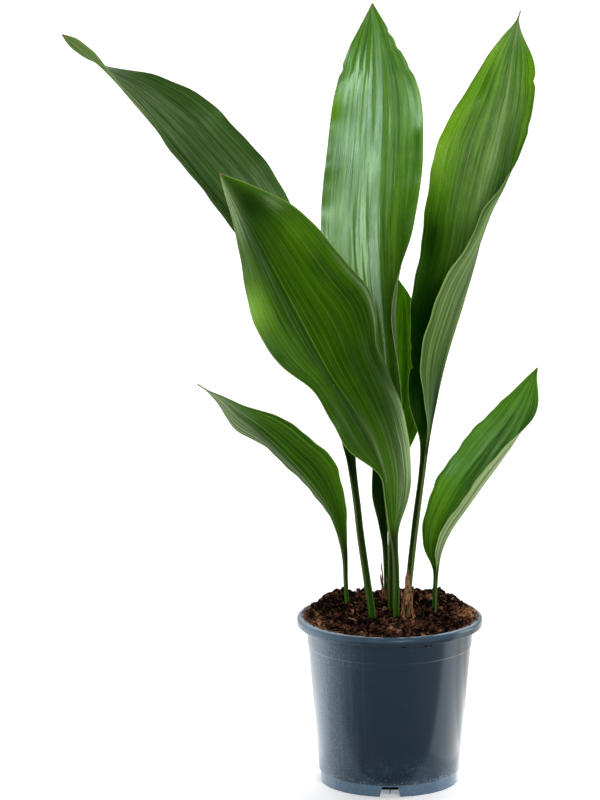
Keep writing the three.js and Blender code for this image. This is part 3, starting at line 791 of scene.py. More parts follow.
@dataclass
class Leaf:
    """A leaf grown in one piece with its stem, as one thin closed skin with pleats and a keel."""

    plan: LeafPlan
    seed: int
    half_columns: int = 40
    crowding: float = 0.92
    blade_step: float = 2.2
    stem_step: float = 7.0
    margin_thickness: float = 0.3
    middle_thickness: float = 0.6
    crease: float = 3.0
    lift: float = 0.35
    stem_fold: float = 35.0
    keel_depth: float = 0.9
    tip_keel: float = 0.4
    full_width: float = 25.0
    flutter: float = 0.4
    flutter_ratio: float = 0.37
    pleat_depth: float = 0.28
    pleat_counts: tuple[float, ...] = (2.2, 3.7, 5.5, 8.0, 11.5)
    pleat_drift: float = 0.8
    pleat_length: Pair = (80.0, 170.0)

    def rows(self) -> np.ndarray:
        """The stem's and the blade's stations as rows: place, facing, left half, right half, half keel.

        Returns:
            One row for each station, from the root to the tip.
        """
        plan = self.plan
        stem_half = [plan.stem_half, self.stem_fold, 0.0]
        rows = [[*place, plan.blade[0].facing, *stem_half, *stem_half, plan.stem_half] for place in plan.stem]
        for k, station in enumerate(plan.blade):
            keel = plan.stem_half + (self.tip_keel - plan.stem_half) * k / (len(plan.blade) - 1)
            rows.append([*station.place, station.facing, *station.left, *station.right, keel])
        return np.array(rows, float)

    @staticmethod
    def at(rows: np.ndarray, u: np.ndarray) -> np.ndarray:
        """Centripetal Catmull-Rom through rows whose first three numbers are a place.

        Args:
            rows: The stations.
            u: Where to read it, in stations.

        Returns:
            One row for each u.
        """
        padded = np.vstack([2 * rows[0] - rows[1], rows, 2 * rows[-1] - rows[-2]])
        i = np.minimum(u.astype(int), len(rows) - 2)
        t = (u - i)[:, None]
        p0, p1, p2, p3 = (padded[i + k] for k in range(4))
        pairs = ((p0, p1), (p1, p2), (p2, p3))
        d0, d1, d2 = (np.sqrt(np.linalg.norm(a[:, :3] - b[:, :3], axis=1))[:, None] for a, b in pairs)
        m1 = d1 * ((p1 - p0) / d0 - (p2 - p0) / (d0 + d1) + (p2 - p1) / d1)
        m2 = d1 * ((p2 - p1) / d1 - (p3 - p1) / (d1 + d2) + (p3 - p2) / d2)
        rise, turn = 2 * t**3 - 3 * t**2 + 1, t**3 - 2 * t**2 + t
        return rise * p1 + turn * m1 + (1 - rise) * p2 + (t**3 - t**2) * m2

    def stops(self, rows: np.ndarray) -> np.ndarray:
        """Where the fine sections stand, in stations, closer together in the blade than in the stem.

        Args:
            rows: The stations.

        Returns:
            The place of each section, in stations from the root.
        """
        stops = [np.zeros(1)]
        for i, length in enumerate(np.linalg.norm(np.diff(rows[:, :3], axis=0), axis=1)):
            step = self.stem_step if i < len(self.plan.stem) - 1 else self.blade_step
            count = max(1, round(length / step))
            stops.append(i + np.arange(1, count + 1) / count)
        return np.concatenate(stops)

    def axes(self, rows: np.ndarray, u: np.ndarray, step: float = 1e-3) -> tuple[np.ndarray, np.ndarray]:
        """Unit vectors out of the upper face and to the right.

        Args:
            rows: The stations.
            u: Where the sections stand.
            step: How far apart the midrib's direction is read, in stations.

        Returns:
            The two vectors for each section.
        """
        ahead = self.at(rows, np.minimum(u + step, len(rows) - 1))[:, :3]
        along = ahead - self.at(rows, np.maximum(u - step, 0))[:, :3]
        along /= np.linalg.norm(along, axis=1)[:, None]
        facing = np.radians(self.at(rows, u)[:, 3])
        up = np.stack([np.sin(facing), -np.cos(facing), np.full_like(facing, self.lift)], 1)
        up -= along * np.sum(up * along, axis=1)[:, None]
        up /= np.linalg.norm(up, axis=1)[:, None]
        return up, np.cross(along, up)

    def sections(self) -> Sections:
        """The leaf's fine sections, with single numbers as columns.

        Returns:
            The sections, from the root to the tip.
        """
        rows = self.rows()
        u = self.stops(rows)
        row = self.at(rows, u)
        steps = np.linalg.norm(np.diff(row[:, :3], axis=0), axis=1)
        run = np.concatenate([[0.0], np.cumsum(steps)])[:, None]
        base = run[np.searchsorted(u, len(self.plan.stem)), 0]
        length = run[-1, 0] - base
        reach = np.clip((run - base) / length, 0, 1)
        blade = smooth_step(np.maximum(row[:, 4:5], row[:, 7:8]) - self.plan.stem_half, 0.4, 6)
        blade = np.maximum(blade, smooth_step(reach, 0.25, 0.35))
        return Sections(row, *self.axes(rows, u), run, reach, blade, length)

    @staticmethod
    def arc(start: np.ndarray, turn: np.ndarray, length: np.ndarray) -> tuple[np.ndarray, np.ndarray]:
        """Ends of arcs that begin at an angle and turn by another.

        Args:
            start: The first angles.
            turn: The further angles.
            length: The arcs' lengths.

        Returns:
            How far out and how far up each arc ends.
        """
        small = np.abs(turn) < 1e-4
        safe = np.where(small, 1.0, turn)
        out = np.where(small, np.cos(start), (np.sin(start + safe) - np.sin(start)) / safe)
        rise = np.where(small, np.sin(start), (np.cos(start) - np.cos(start + safe)) / safe)
        return length * out, length * rise

    def half(self, form: np.ndarray, distance: np.ndarray) -> tuple[np.ndarray, np.ndarray, np.ndarray]:
        """The section of one half of the blade.

        Args:
            form: Width, fold and curl for each section.
            distance: Distances from the midrib, sections by columns.

        Returns:
            How far out and up each point is, and the surface's angle there.
        """
        width, fold, curl = form[:, :1], np.radians(form[:, 1:2]), np.radians(form[:, 2:3])
        crease = np.minimum(self.crease, width / 2)
        near, far = np.minimum(distance, crease), np.maximum(distance - crease, 0)
        angle, further = fold * near / crease, curl * far / (width - crease)
        out, rise = self.arc(np.zeros_like(angle), angle, near)
        far_out, far_rise = self.arc(np.broadcast_to(fold, far.shape), further, far)
        return out + far_out, rise + far_rise, angle + further

    def pleats(self, share: np.ndarray, run: np.ndarray, side: int) -> np.ndarray:
        """Height of the long shallow pleats between the veins.

        Args:
            share: The place from the midrib to the margin, from 0 to 1.
            run: The distance along the leaf for each section.
            side: -1 on the left and 1 on the right.

        Returns:
            The heights from about -1 to 1.
        """
        draw = np.random.default_rng(self.seed * 10 + side + 1)
        height = np.zeros(share.shape)
        for count in self.pleat_counts:
            phase, drift = draw.uniform(0, TURN), draw.uniform(-self.pleat_drift, self.pleat_drift)
            length = draw.uniform(*self.pleat_length)
            swell = 0.6 + 0.4 * np.sin(TURN * run / length + phase)
            height = height + swell * np.sin(TURN * count * share + phase + drift * run / 60) / count**0.5
        return height * np.sin(math.pi * np.minimum(share * 1.4, 1)) ** 0.5

    def bitten(self, width: np.ndarray, cuts: Sections, side: int) -> np.ndarray:
        """The half's widths with its nicks bitten out.

        Args:
            width: The whole widths.
            cuts: The leaf's sections.
            side: -1 on the left and 1 on the right.

        Returns:
            The widths left.
        """
        left = width.copy()
        for nick in self.plan.nicks:
            if nick.side == side:
                away = (cuts.reach - nick.reach) * cuts.blade_length / nick.half_length
                bite = np.exp(-np.abs(away) ** 3) * (1 - 0.35 * np.tanh(3 * away))
                left -= np.minimum(nick.depth * bite, 0.5 * width)
        return left

    def side(self, cuts: Sections, side: int) -> tuple[np.ndarray, dict[str, np.ndarray]]:
        """The skin of one half of the leaf.

        Args:
            cuts: The leaf's sections.
            side: -1 on the left and 1 on the right.

        Returns:
            The upper and the lower points, and the values that the finish reads, by name.
        """
        plan, run = self.plan, cuts.run
        form = cuts.row[:, 4:7] if side < 0 else cuts.row[:, 7:10]
        share = np.linspace(0, 1, self.half_columns + 1) ** self.crowding
        share = share[::-1] if side < 0 else share[1:]
        share = np.broadcast_to(share, (len(form), len(share)))
        width = self.bitten(form[:, :1], cuts, side)
        distance = share * width
        out, rise, angle = self.half(form, distance)
        growth = np.minimum(form[:, :1] / self.full_width, 1)
        height, length = plan.ripple
        wave = height * np.sin(TURN * run / length + side)
        flutter = self.flutter * np.sin(TURN * run / (length * self.flutter_ratio) + 2 * side)
        rise = rise + (wave + flutter * share**4) * share**2 * growth
        pleat = self.pleat_depth * self.pleats(share, run, side) * growth * cuts.blade
        up, right = cuts.up[:, None], cuts.right[:, None]
        middle = cuts.row[:, None, :3] + right * (side * out)[..., None] + up * rise[..., None]
        normal = up * np.cos(angle)[..., None] - right * (side * np.sin(angle))[..., None]
        thin = self.middle_thickness + (self.margin_thickness - self.middle_thickness) * share**3
        keel_half = cuts.row[:, 10:11]
        round_back = np.sqrt(np.clip(1 - (distance / keel_half) ** 2, 0, 1))
        keel = self.keel_depth * keel_half**2 / plan.stem_half * round_back
        faces = [middle + normal * off[..., None] for off in (pleat + thin / 2, pleat - thin / 2 - keel)]
        values = {"across": side * share, "margin": np.maximum(width - distance, 0)}
        # the spots' painted light through the blade, painted sheen, painted shade and duller reflection, by
        # name
        for name in ("sun", "bloom", "shade", "dull"):
            tints = [spot.tint(side * share, cuts.reach) for spot in getattr(plan, f"{name}s")]
            values[name] = np.clip(sum(tints, np.zeros(share.shape)), 0, 1)
        return np.stack(faces), values

    def build(self) -> bpy.types.Object:
        """Makes the leaf's mesh with the values that its finish reads.

        Returns:
            The leaf, as a closed skin.
        """
        cuts = self.sections()
        (left, values), (right, more) = self.side(cuts, -1), self.side(cuts, 1)
        points = np.concatenate([left, right], 2)
        rows, columns = points.shape[1:3]
        faces = skin_faces(rows, columns)
        piece = new_piece(f"{self.plan.node}_skin", points, faces, self.plan.finish.build())
        for name in values:
            paint(piece, name, np.tile(np.concatenate([values[name], more[name]], 1), (2, 1)))
        for name, column in (("along", cuts.run), ("reach", cuts.reach), ("blade", cuts.blade)):
            paint(piece, name, np.tile(column, (2, columns)))
        paint(piece, "back", np.repeat([0.0, 1.0], rows * columns))
        return piece


ROOT_LEVEL = 105.0

REAR_LEFT_LEAF = LeafPlan(
    node="leaf_rear_left", stem_half=2.6, ripple=(1.2, 70),
    stem=[(-13, 6, ROOT_LEVEL), (-13, 6, 124), (-17, 9, 153), (-22, 14, 187), (-25, 19, 213)],
    blade=[
        Station((-30, 26, 244), 20, (4.5, 40, 0), (4.5, 40, 0)),
        Station((-38, 34, 273), 35, (13, 51, 0), (14, 40, 0)),
        Station((-53, 42, 310), 40, (26, 51, 0), (28, 38, 0)),
        Station((-75, 49, 354), 42, (36, 48, 0), (34.5, 36, 0)),
        Station((-113, 58, 413), 44, (38, 46, 0), (44.5, 32, 0)),
        Station((-145, 65, 452), 45, (40, 46, 0), (48.5, 28, 0)),
        Station((-175, 71, 488), 50, (36, 44, 0), (42, 28, 0)),
        Station((-198, 76, 514), 62, (23, 35, 0), (28, 25, 0)),
        Station((-217, 80, 533), 95, (9, 25, 0), (8, 20, 0)),
        Station((-230, 83, 544), 142, (6, 15, 0), (6, 10, 0)),
        Station((-239, 85, 551), 155, (5, 10, 0), (5, 10, 0)),
        Station((-247, 87, 557), 150, (0.5, 0, 0), (0.5, 0, 0)),
    ],
    blooms=(
        Spot(0.55, 0.5, 0.35, 0.12, 0.3), Spot(-0.98, 0.5, 0.03, 0.42, 0.8), Spot(-0.82, 0.6, 0.03, 0.3, 0.5),
        Spot(0.15, 0.82, 0.5, 0.1, 0.5), Spot(-0.4, 0.7, 0.3, 0.2, 0.3),
    ),
    finish=LeafFinish(
        "rear_left_green", seed=1.0, deep=srgb(18, 50, 4), full=srgb(44, 80, 16), sheen=(0.6, 0.94, 0.45),
        roughness=0.38, gloss=0.26, pleat_depth=0.4, vein_count=10.0, line_strength=0.14,
    ),
)
FRONT_LEAF = LeafPlan(
    node="leaf_front", stem_half=2.3, ripple=(1, 80),
    stem=[(5, 4, ROOT_LEVEL), (5, 4, 125), (5, 3, 155), (4, 2, 177)],
    blade=[
        Station((1, 0, 195), 20, (2.5, 40, 0), (6, 40, -20)),
        Station((-2, -2, 218), 20, (3, 40, 0), (17, 42, -50)),
        Station((-5, -5, 238), 22, (3.5, 20, 0), (24, 42, -65)),
        Station((-16, -10, 270), 24, (22.5, 10, 0), (33, 36, -60)),
        Station((-31, -14, 296), 25, (23, 9, 0), (45, 28, -62)),
        Station((-45, -18, 318), 26, (20, 8, -5), (54, 22, -50)),
        Station((-60, -22, 347), 27, (35.5, 7, 0), (64, 16, -35)),
        Station((-75, -26, 377), 27, (39, 8, 0), (55, 11, -15)),
        Station((-99, -32, 424), 28, (26, 16, 5), (41, 10, -10)),
        Station((-117, -36, 457), 25, (8.5, 25, 5), (17.5, 20, 0)),
        Station((-127, -38, 476), 20, (0.5, 20, 0), (0.5, 20, 0)),
    ],
    suns=(Spot(-0.9, 0.68, 0.35, 0.06, 0.6), Spot(0.7, 0.77, 0.3, 0.05, 0.12)),
    blooms=(
        Spot(-0.6, 0.93, 0.5, 0.07, 1.4), Spot(0.8, 0.87, 0.15, 0.025, 0.6),
        Spot(-0.9, 0.68, 0.25, 0.05, 0.3), Spot(0.97, 0.42, 0.06, 0.2, 0.7), Spot(0.75, 0.16, 0.3, 0.12, 0.7),
        Spot(0.0, 0.2, 0.1, 0.1, 0.4),
    ),
    shades=(
        Spot(0.4, 0.9, 0.5, 0.07, 0.9), Spot(0.5, 0.38, 0.3, 0.25, 0.5), Spot(0.75, 0.62, 0.3, 0.12, 0.15),
        Spot(0.0, 0.55, 0.35, 0.35, 0.3), Spot(-0.5, 0.28, 0.7, 0.14, 0.5), Spot(-0.1, 0.8, 0.4, 0.08, 0.4),
    ),
    dulls=(
        Spot(0.0, 0.5, 2.5, 1.2, 1.0), Spot(-0.95, 0.6, 0.2, 0.05, -1.0), Spot(0.95, 0.3, 0.15, 0.25, -0.8),
    ),
    finish=LeafFinish(
        "front_green", seed=2.0, deep=srgb(22, 56, 0), full=srgb(50, 92, 0), bloom=srgb(178, 198, 150),
        stem_full=srgb(52, 76, 34), sheen=(0.6, 0.95, 0.4), pleat_depth=0.2, streak_depth=0.08,
        line_strength=0.1,
    ),
)
TOP_LEAF = LeafPlan(
    node="leaf_top", stem_half=1.9, ripple=(1.2, 60),
    stem=[(1, 22, ROOT_LEVEL), (1, 22, 133), (1, 23, 165), (1, 25, 200)],
    blade=[
        Station((1, 27, 226), 10, (4, 60, 0), (4, 60, 0)),
        Station((0, 32, 264), 5, (14, 55, 0), (14, 60, 0)),
        Station((-2, 39, 309), -2, (26, 40, 0), (24, 52, 40)),
        Station((-5, 47, 346), -5, (35, 25, 0), (30, 38, 80)),
        Station((-8, 56, 381), -5, (42, 15, 0), (34, 24, 72)),
        Station((-9, 66, 417), 0, (43.5, 12, -10), (31.5, 20, 20)),
        Station((-7, 83, 469), 0, (40.5, 12, -15), (32.5, 14, -20)),
        Station((-6, 98, 512), 0, (35.5, 14, -10), (28.5, 14, -20)),
        Station((-8, 110, 547), 0, (22.5, 18, 0), (12, 16, -10)),
        Station((-13, 119, 575), -5, (0.5, 20, 0), (0.5, 20, 0)),
    ],
    nicks=(Nick(1, 0.935, 1.3, 2.2), Nick(1, 0.905, 1.1, 2.6), Nick(1, 0.86, 0.9, 3), Nick(-1, 0.86, 1.2, 3)),
    suns=(
        Spot(-0.95, 0.775, 0.2, 0.04, 0.5), Spot(-0.6, 0.84, 0.3, 0.05, 0.25),
        Spot(0.1, 0.3, 0.15, 0.12, 0.3), Spot(-0.9, 0.55, 0.15, 0.1, 0.2),
    ),
    blooms=(Spot(0.98, 0.33, 0.07, 0.12, 1.4),),
    shades=(Spot(0.0, 0.1, 0.9, 0.2, 0.5), Spot(0.2, 0.38, 0.35, 0.12, 0.4)),
    dulls=(
        Spot(0.6, 0.5, 0.52, 0.6, 0.8), Spot(-0.95, 0.775, 0.2, 0.05, 0.9), Spot(0.0, 0.97, 1.0, 0.07, 0.6),
        Spot(-0.4, 0.05, 1.5, 0.16, 1.0), Spot(-0.7, 0.38, 0.45, 0.14, 0.95),
    ),
    finish=LeafFinish(
        "top_green", seed=3.0, deep=srgb(46, 96, 6), full=srgb(90, 138, 36), sheen=(0.68, 0.94, 0.76),
        roughness=0.24, gloss=0.85, patchy=0.07, pleat_depth=0.6, streak_count=7.0, streak_depth=0.3,
        thread_depth=0.02, vein_strength=0.2, line_strength=0.2,
    ),
)
BACK_LEAF = LeafPlan(
    node="leaf_back", stem_half=2.0, ripple=(1, 60),
    stem=[(-2, 34, ROOT_LEVEL), (-2, 34, 131), (-2, 36, 150), (-3, 38, 170)],
    blade=[
        Station((-4, 41, 185), 5, (5, 45, 10), (3.5, 45, 0)),
        Station((-2, 45, 206), 0, (12.5, 32, 0), (5, 30, 0)),
        Station((2, 51, 232), -5, (15.5, 20, 0), (8, 20, 0)),
        Station((7, 60, 265), -8, (21.5, 14, 0), (18, 14, 0)),
        Station((9, 71, 301), -8, (20.5, 12, 0), (22, 12, 0)),
        Station((10, 82, 334), -5, (16.5, 14, 0), (14, 14, 0)),
        Station((10, 89, 352), -5, (9.5, 16, 0), (7, 14, 0)),
        Station((7, 95, 366), 0, (0.5, 16, 0), (0.5, 12, 0)),
    ],
    shades=(Spot(0.0, 0.1, 2.0, 0.28, 0.9), Spot(-0.8, 0.1, 0.8, 0.3, 0.6)),
    dulls=(Spot(0.0, 0.3, 2.0, 0.6, 0.9),),
    finish=LeafFinish(
        "back_green", seed=4.0, deep=srgb(44, 102, 0), full=srgb(96, 160, 2), roughness=0.5, gloss=0.15,
        vein_count=7.0, vein_strength=0.4,
    ),
)
RIGHT_LEAF = LeafPlan(
    node="leaf_right", stem_half=2.5, ripple=(1, 70),
    stem=[(12, 8, ROOT_LEVEL), (12, 8, 124), (13, 8, 138), (16, 10, 168), (20, 13, 203), (24, 16, 235)],
    blade=[
        Station((27, 18, 258), -40, (5, 50, 0), (4.5, 55, 0)),
        Station((33, 23, 288), -58, (20.5, 50, 0), (18, 66, 0)),
        Station((41, 28, 321), -58, (27.5, 52, 0), (31, 70, 5)),
        Station((54, 35, 362), -58, (39.5, 54, 0), (40, 62, 10)),
        Station((65, 43, 399), -56, (42, 52, 0), (41, 38, 28)),
        Station((71, 49, 428), -50, (45.5, 47, 0), (37, 15, 70)),
        Station((77, 54, 450), -42, (48, 40, -5), (34, 5, 65)),
        Station((84, 61, 479), -32, (45, 30, -8), (28, 12, 30)),
        Station((91, 68, 510), -22, (36, 20, -8), (22.5, 8, 25)),
        Station((94, 74, 540), -15, (21.5, 18, 0), (16, 15, 0)),
        Station((96, 77, 561), -10, (8.5, 15, 0), (3, 15, 0)),
        Station((96, 78, 570), -10, (1, 15, 0), (1, 15, 0)),
        Station((98, 79, 577), -10, (0.5, 15, 0), (0.5, 15, 0)),
    ],
    nicks=(Nick(1, 0.845, 1.6, 3), Nick(1, 0.75, 1.4, 4), Nick(-1, 0.16, 1.6, 2.5), Nick(-1, 0.2, 1.0, 2)),
    suns=(
        Spot(-0.95, 0.68, 0.22, 0.14, 0.9), Spot(-0.8, 0.9, 0.3, 0.05, 0.5), Spot(0.95, 0.86, 0.5, 0.06, 0.7),
        Spot(0.9, 0.74, 0.25, 0.06, 0.5),
    ),
    blooms=(Spot(0.0, 0.97, 1.5, 0.045, 0.6), Spot(0.1, 0.68, 0.4, 0.2, 0.5)),
    shades=(
        Spot(-0.7, 0.18, 0.75, 0.28, 1.3), Spot(0.3, 0.08, 0.7, 0.12, 0.6), Spot(-0.85, 0.47, 0.2, 0.07, 0.5),
        Spot(0.3, 0.5, 0.12, 0.2, 0.3),
    ),
    dulls=(Spot(-0.4, 0.18, 1.2, 0.34, 1.3), Spot(0.6, 0.85, 0.3, 0.1, 0.5), Spot(-0.85, 0.5, 0.3, 0.1, 0.8)),
    finish=LeafFinish(
        "right_green", seed=5.0, deep=srgb(28, 80, 0), full=srgb(82, 138, 20), shaded=srgb(0, 38, 0),
        back_deep=srgb(34, 62, 12), back_full=srgb(60, 92, 28), back_vein=srgb(120, 146, 78),
        sheen=(0.85, 1.0, 0.5), gloss=0.3, roughness=0.26, streak_depth=0.3, vein_strength=0.5,
        fine_count=18.0, line_strength=0.32, back_count=8.0,
    ),
)
LOW_LEFT_LEAF = LeafPlan(
    node="leaf_low_left", stem_half=1.6, ripple=(0.8, 45),
    stem=[(-32, 22, ROOT_LEVEL), (-32, 22, 129), (-33, 20, 150)],
    blade=[
        Station((-34, 17, 168), 35, (2.5, 40, 0), (2.5, 40, 0)),
        Station((-39, 11, 190), 45, (9, 42, 0), (7.5, 45, 0)),
        Station((-48, 3, 213), 48, (15, 40, 0), (16.5, 45, 0)),
        Station((-61, -6, 234), 50, (18, 38, 0), (24, 45, 0)),
        Station((-77, -14, 254), 50, (19, 36, 0), (22.5, 42, 0)),
        Station((-95, -22, 274), 46, (18, 36, 0), (17.5, 38, 0)),
        Station((-113, -29, 291), 40, (15.5, 18, 0), (7.5, 28, 0)),
        Station((-126, -34, 303), 30, (6, 14, 0), (3, 18, 0)),
        Station((-136, -37, 310), 20, (1, 10, 0), (1, 10, 0)),
        Station((-144, -39, 316), 20, (0.5, 0, 0), (0.5, 0, 0)),
    ],
    suns=(Spot(0.6, 0.3, 0.5, 0.12, 0.1),),
    blooms=(
        Spot(-0.6, 0.72, 0.4, 0.2, 0.8), Spot(-0.6, 0.4, 0.3, 0.3, 0.8), Spot(-0.1, 0.93, 0.9, 0.1, 0.7),
        Spot(0.3, 0.8, 0.3, 0.08, 0.25),
    ),
    shades=(Spot(0.9, 0.05, 0.8, 0.1, 0.4), Spot(0.5, 0.35, 0.35, 0.4, 0.5)),
    dulls=(Spot(0.4, 0.35, 0.7, 0.4, 0.85),),
    finish=LeafFinish(
        "low_left_green", seed=6.0, deep=srgb(22, 56, 0), full=srgb(46, 92, 0), bloom=srgb(196, 208, 176),
        gloss=0.26, pleat_depth=0.3, vein_count=6.0, vein_strength=0.5, fine_count=14.0, line_strength=0.12,
    ),
)
LOW_RIGHT_LEAF = LeafPlan(
    node="leaf_low_right", stem_half=1.8, ripple=(0.8, 50),
    stem=[(34, 13, ROOT_LEVEL), (34, 13, 125), (34, 11, 141)],
    blade=[
        Station((35, 9, 161), -50, (3, 50, 0), (3, 50, 0)),
        Station((38, 6, 177), -60, (14.5, 52, 0), (9, 62, 0)),
        Station((45, 1, 194), -62, (23.5, 55, 0), (15, 60, 0)),
        Station((57, -5, 213), -62, (29.5, 55, 0), (19, 58, 0)),
        Station((69, -11, 232), -60, (31.5, 54, 0), (20, 60, 0)),
        Station((82, -18, 252), -58, (31, 52, 0), (20, 60, 0)),
        Station((93, -25, 271), -50, (28.5, 46, 0), (18, 52, 20)),
        Station((102, -30, 293), -35, (21.5, 34, 0), (13.5, 22, 30)),
        Station((106, -33, 309), -20, (13, 20, 0), (5, 15, 0)),
        Station((108, -35, 320), -10, (6.5, 12, 0), (1, 8, 0)),
        Station((109, -36, 328), 0, (0.5, 0, 0), (0.5, 0, 0)),
    ],
    suns=(Spot(-0.75, 0.25, 0.35, 0.1, 0.16),),
    blooms=(
        Spot(-0.3, 0.6, 0.5, 0.2, 0.75), Spot(0.6, 0.82, 0.3, 0.08, 0.4), Spot(-0.85, 0.42, 0.2, 0.05, 0.6),
        Spot(-0.2, 0.3, 0.3, 0.1, 0.15),
    ),
    shades=(
        Spot(-0.3, 0.05, 0.9, 0.07, 0.5), Spot(-0.3, 1.0, 0.8, 0.04, 0.4), Spot(-0.8, 0.16, 0.3, 0.1, 0.3),
    ),
    dulls=(Spot(-0.5, 0.15, 0.8, 0.2, 0.9),),
    finish=LeafFinish(
        "low_right_green", seed=7.0, deep=srgb(26, 76, 0), full=srgb(70, 124, 6), bloom=srgb(116, 156, 112),
        back_deep=srgb(58, 82, 38), back_full=srgb(104, 128, 74), back_vein=srgb(178, 190, 144), gloss=0.3,
        streak_count=9.0, vein_count=6.0, vein_strength=0.4, fine_count=10.0, line_strength=0.32,
        back_count=5.0,
    ),
)

LEAF_PLANS = (REAR_LEFT_LEAF, FRONT_LEAF, TOP_LEAF, BACK_LEAF, RIGHT_LEAF, LOW_LEFT_LEAF, LOW_RIGHT_LEAF)


# ---------- pot ----------


class Change(Enum):
    """What another solid does to a piece."""

    JOIN = "UNION"
    CUT = "DIFFERENCE"


@dataclass
class Pot:
    """Tapered grower's pot with a stacking step, a rolled lip and four drain notches through its foot."""

    height: float = 128.0
    lip_radius: float = 70.0
    foot_radius: float = 52.0
    foot_height: float = 9.0
    wall: float = 1.3
    shoulder_height: float = 106.0
    radius_at_foot: float = 53.1
    radius_at_shoulder: float = 61.4
    radius_under_lip: float = 63.3
    floor_bottom: float = 3.5
    floor_top: float = 5.0
    middle_hole: float = 0.05
    segments: int = 192
    sharp: float = 30.0
    drains: int = 4
    drain_depth: float = 13.0
    drain_height: float = 8.0
    drain_foot_width: float = 15.6
    drain_top_width: float = 11.7
    drain_skin: float = 1.5
    slot_width: float = 4.0
    slot_length: float = 7.0
    slot_margin: float = 2.0
    rib_width: float = 1.2
    rib_bottom: float = 2.0
    overrun: float = 1.0

    @staticmethod
    def rounded(corners: list[Point], steps: int = 5) -> np.ndarray:
        """An outline with its corners rounded.

        Args:
            corners: Each corner's radius from the axis, height and rounding.
            steps: How many points stand for each rounding.

        Returns:
            The outline's points as radius and height.
        """
        points = []
        for k, (r, z, rounding) in enumerate(corners):
            here = Vector((r, z))
            if rounding == 0:
                points.append(here)
                continue
            before, after = (Vector(corners[k + beside][:2]) - here for beside in (-1, 1))
            reach = min(rounding, before.length * 0.45, after.length * 0.45)
            start, end = here + before.normalized() * reach, here + after.normalized() * reach
            for t in (step / steps for step in range(steps + 1)):
                points.append(start * (1 - t) ** 2 + here * 2 * t * (1 - t) + end * t**2)
        return np.array(points)

    def outline(self) -> np.ndarray:
        """The wall's section, from the middle of the underside round the outside to the floor's middle.

        Returns:
            The points, each as a radius and a height.
        """
        foot, lip, top = self.foot_radius, self.lip_radius, self.height
        return self.rounded([
            (self.middle_hole, self.floor_bottom, 0),
            (foot - 2.4, self.floor_bottom, 0.3),
            (foot - 2.1, 0.0, 0.4),
            (foot, 0.0, 0.7),
            (foot + 0.3, self.foot_height - 0.2, 0.25),
            (self.radius_at_foot, self.foot_height + 0.3, 0.4),
            (self.radius_at_shoulder, self.shoulder_height - 0.25, 0.25),
            (self.radius_at_shoulder + 0.6, self.shoulder_height + 0.25, 0.25),
            (self.radius_under_lip, top - 2.7, 0.3),
            (lip - 1.7, top - 2.7, 0.3),
            (lip - 1.5, top - 6.4, 0.3),
            (lip - 0.1, top - 6.4, 0.5),
            (lip, top - 1.6, 1.2),
            (lip - 2.0, top, 1.2),
            (lip - 5.2, top - 0.05, 1.2),
            (self.radius_under_lip - 0.1, top - 2.4, 1.2),
            (self.radius_under_lip - self.wall, top - 7, 1.5),
            (self.radius_at_shoulder - self.wall, self.shoulder_height, 0.5),
            (foot - 0.4, self.foot_height + 1, 0.5),
            (foot - 1.6, self.foot_height - 0.8, 0.4),
            (foot - 2.0, self.floor_top, 1.0),
            (self.middle_hole, self.floor_top, 0),
        ])

    def channel_width(self, height: float) -> float:
        """The drain channel's width at a height."""
        share = height / self.foot_height
        return self.drain_foot_width + (self.drain_top_width - self.drain_foot_width) * share

    def blocks(self, near: float, far: float, bottom: float, top: float, *widths: float) -> bpy.types.Object:
        """One tapered block towards each drain, as one object.

        Args:
            near: Its inner end's distance from the axis.
            far: Its outer end's distance from the axis.
            bottom: Its lower level.
            top: Its upper level.
            widths: Its width at the bottom and at the top.

        Returns:
            The blocks, for cutting or joining.
        """
        corners = np.array([
            (side * width / 2, -reach, level)
            for reach in (near, far)
            for level, width in zip((bottom, top), widths)
            for side in (-1, 1)
        ])
        box = [(2, 3, 1, 0), (5, 7, 6, 4), (1, 5, 4, 0), (6, 7, 3, 2), (4, 6, 2, 0), (3, 7, 5, 1)]
        points, faces = [], []
        for k in range(self.drains):
            turn = TURN * k / self.drains
            x = corners[:, 0] * math.cos(turn) - corners[:, 1] * math.sin(turn)
            y = corners[:, 0] * math.sin(turn) + corners[:, 1] * math.cos(turn)
            points.append(np.stack([x, y, corners[:, 2]], 1))
            faces += [tuple(8 * k + corner for corner in quad) for quad in box]
        return new_piece("drain_blocks", np.concatenate(points), faces, crease=self.sharp)

    @staticmethod
    def combine(piece: bpy.types.Object, change: Change, other: bpy.types.Object) -> None:
        """Joins another object to a piece, or cuts it out, and removes the other object.

        Args:
            piece: The object that changes.
            change: Whether the other object is joined or cut out.
            other: The object used up.
        """
        modifier = piece.modifiers.new("combine", "BOOLEAN")
        modifier.operation = change.value
        modifier.object = other
        modifier.solver = "EXACT"
        apply_modifier(piece)
        bpy.data.objects.remove(other)

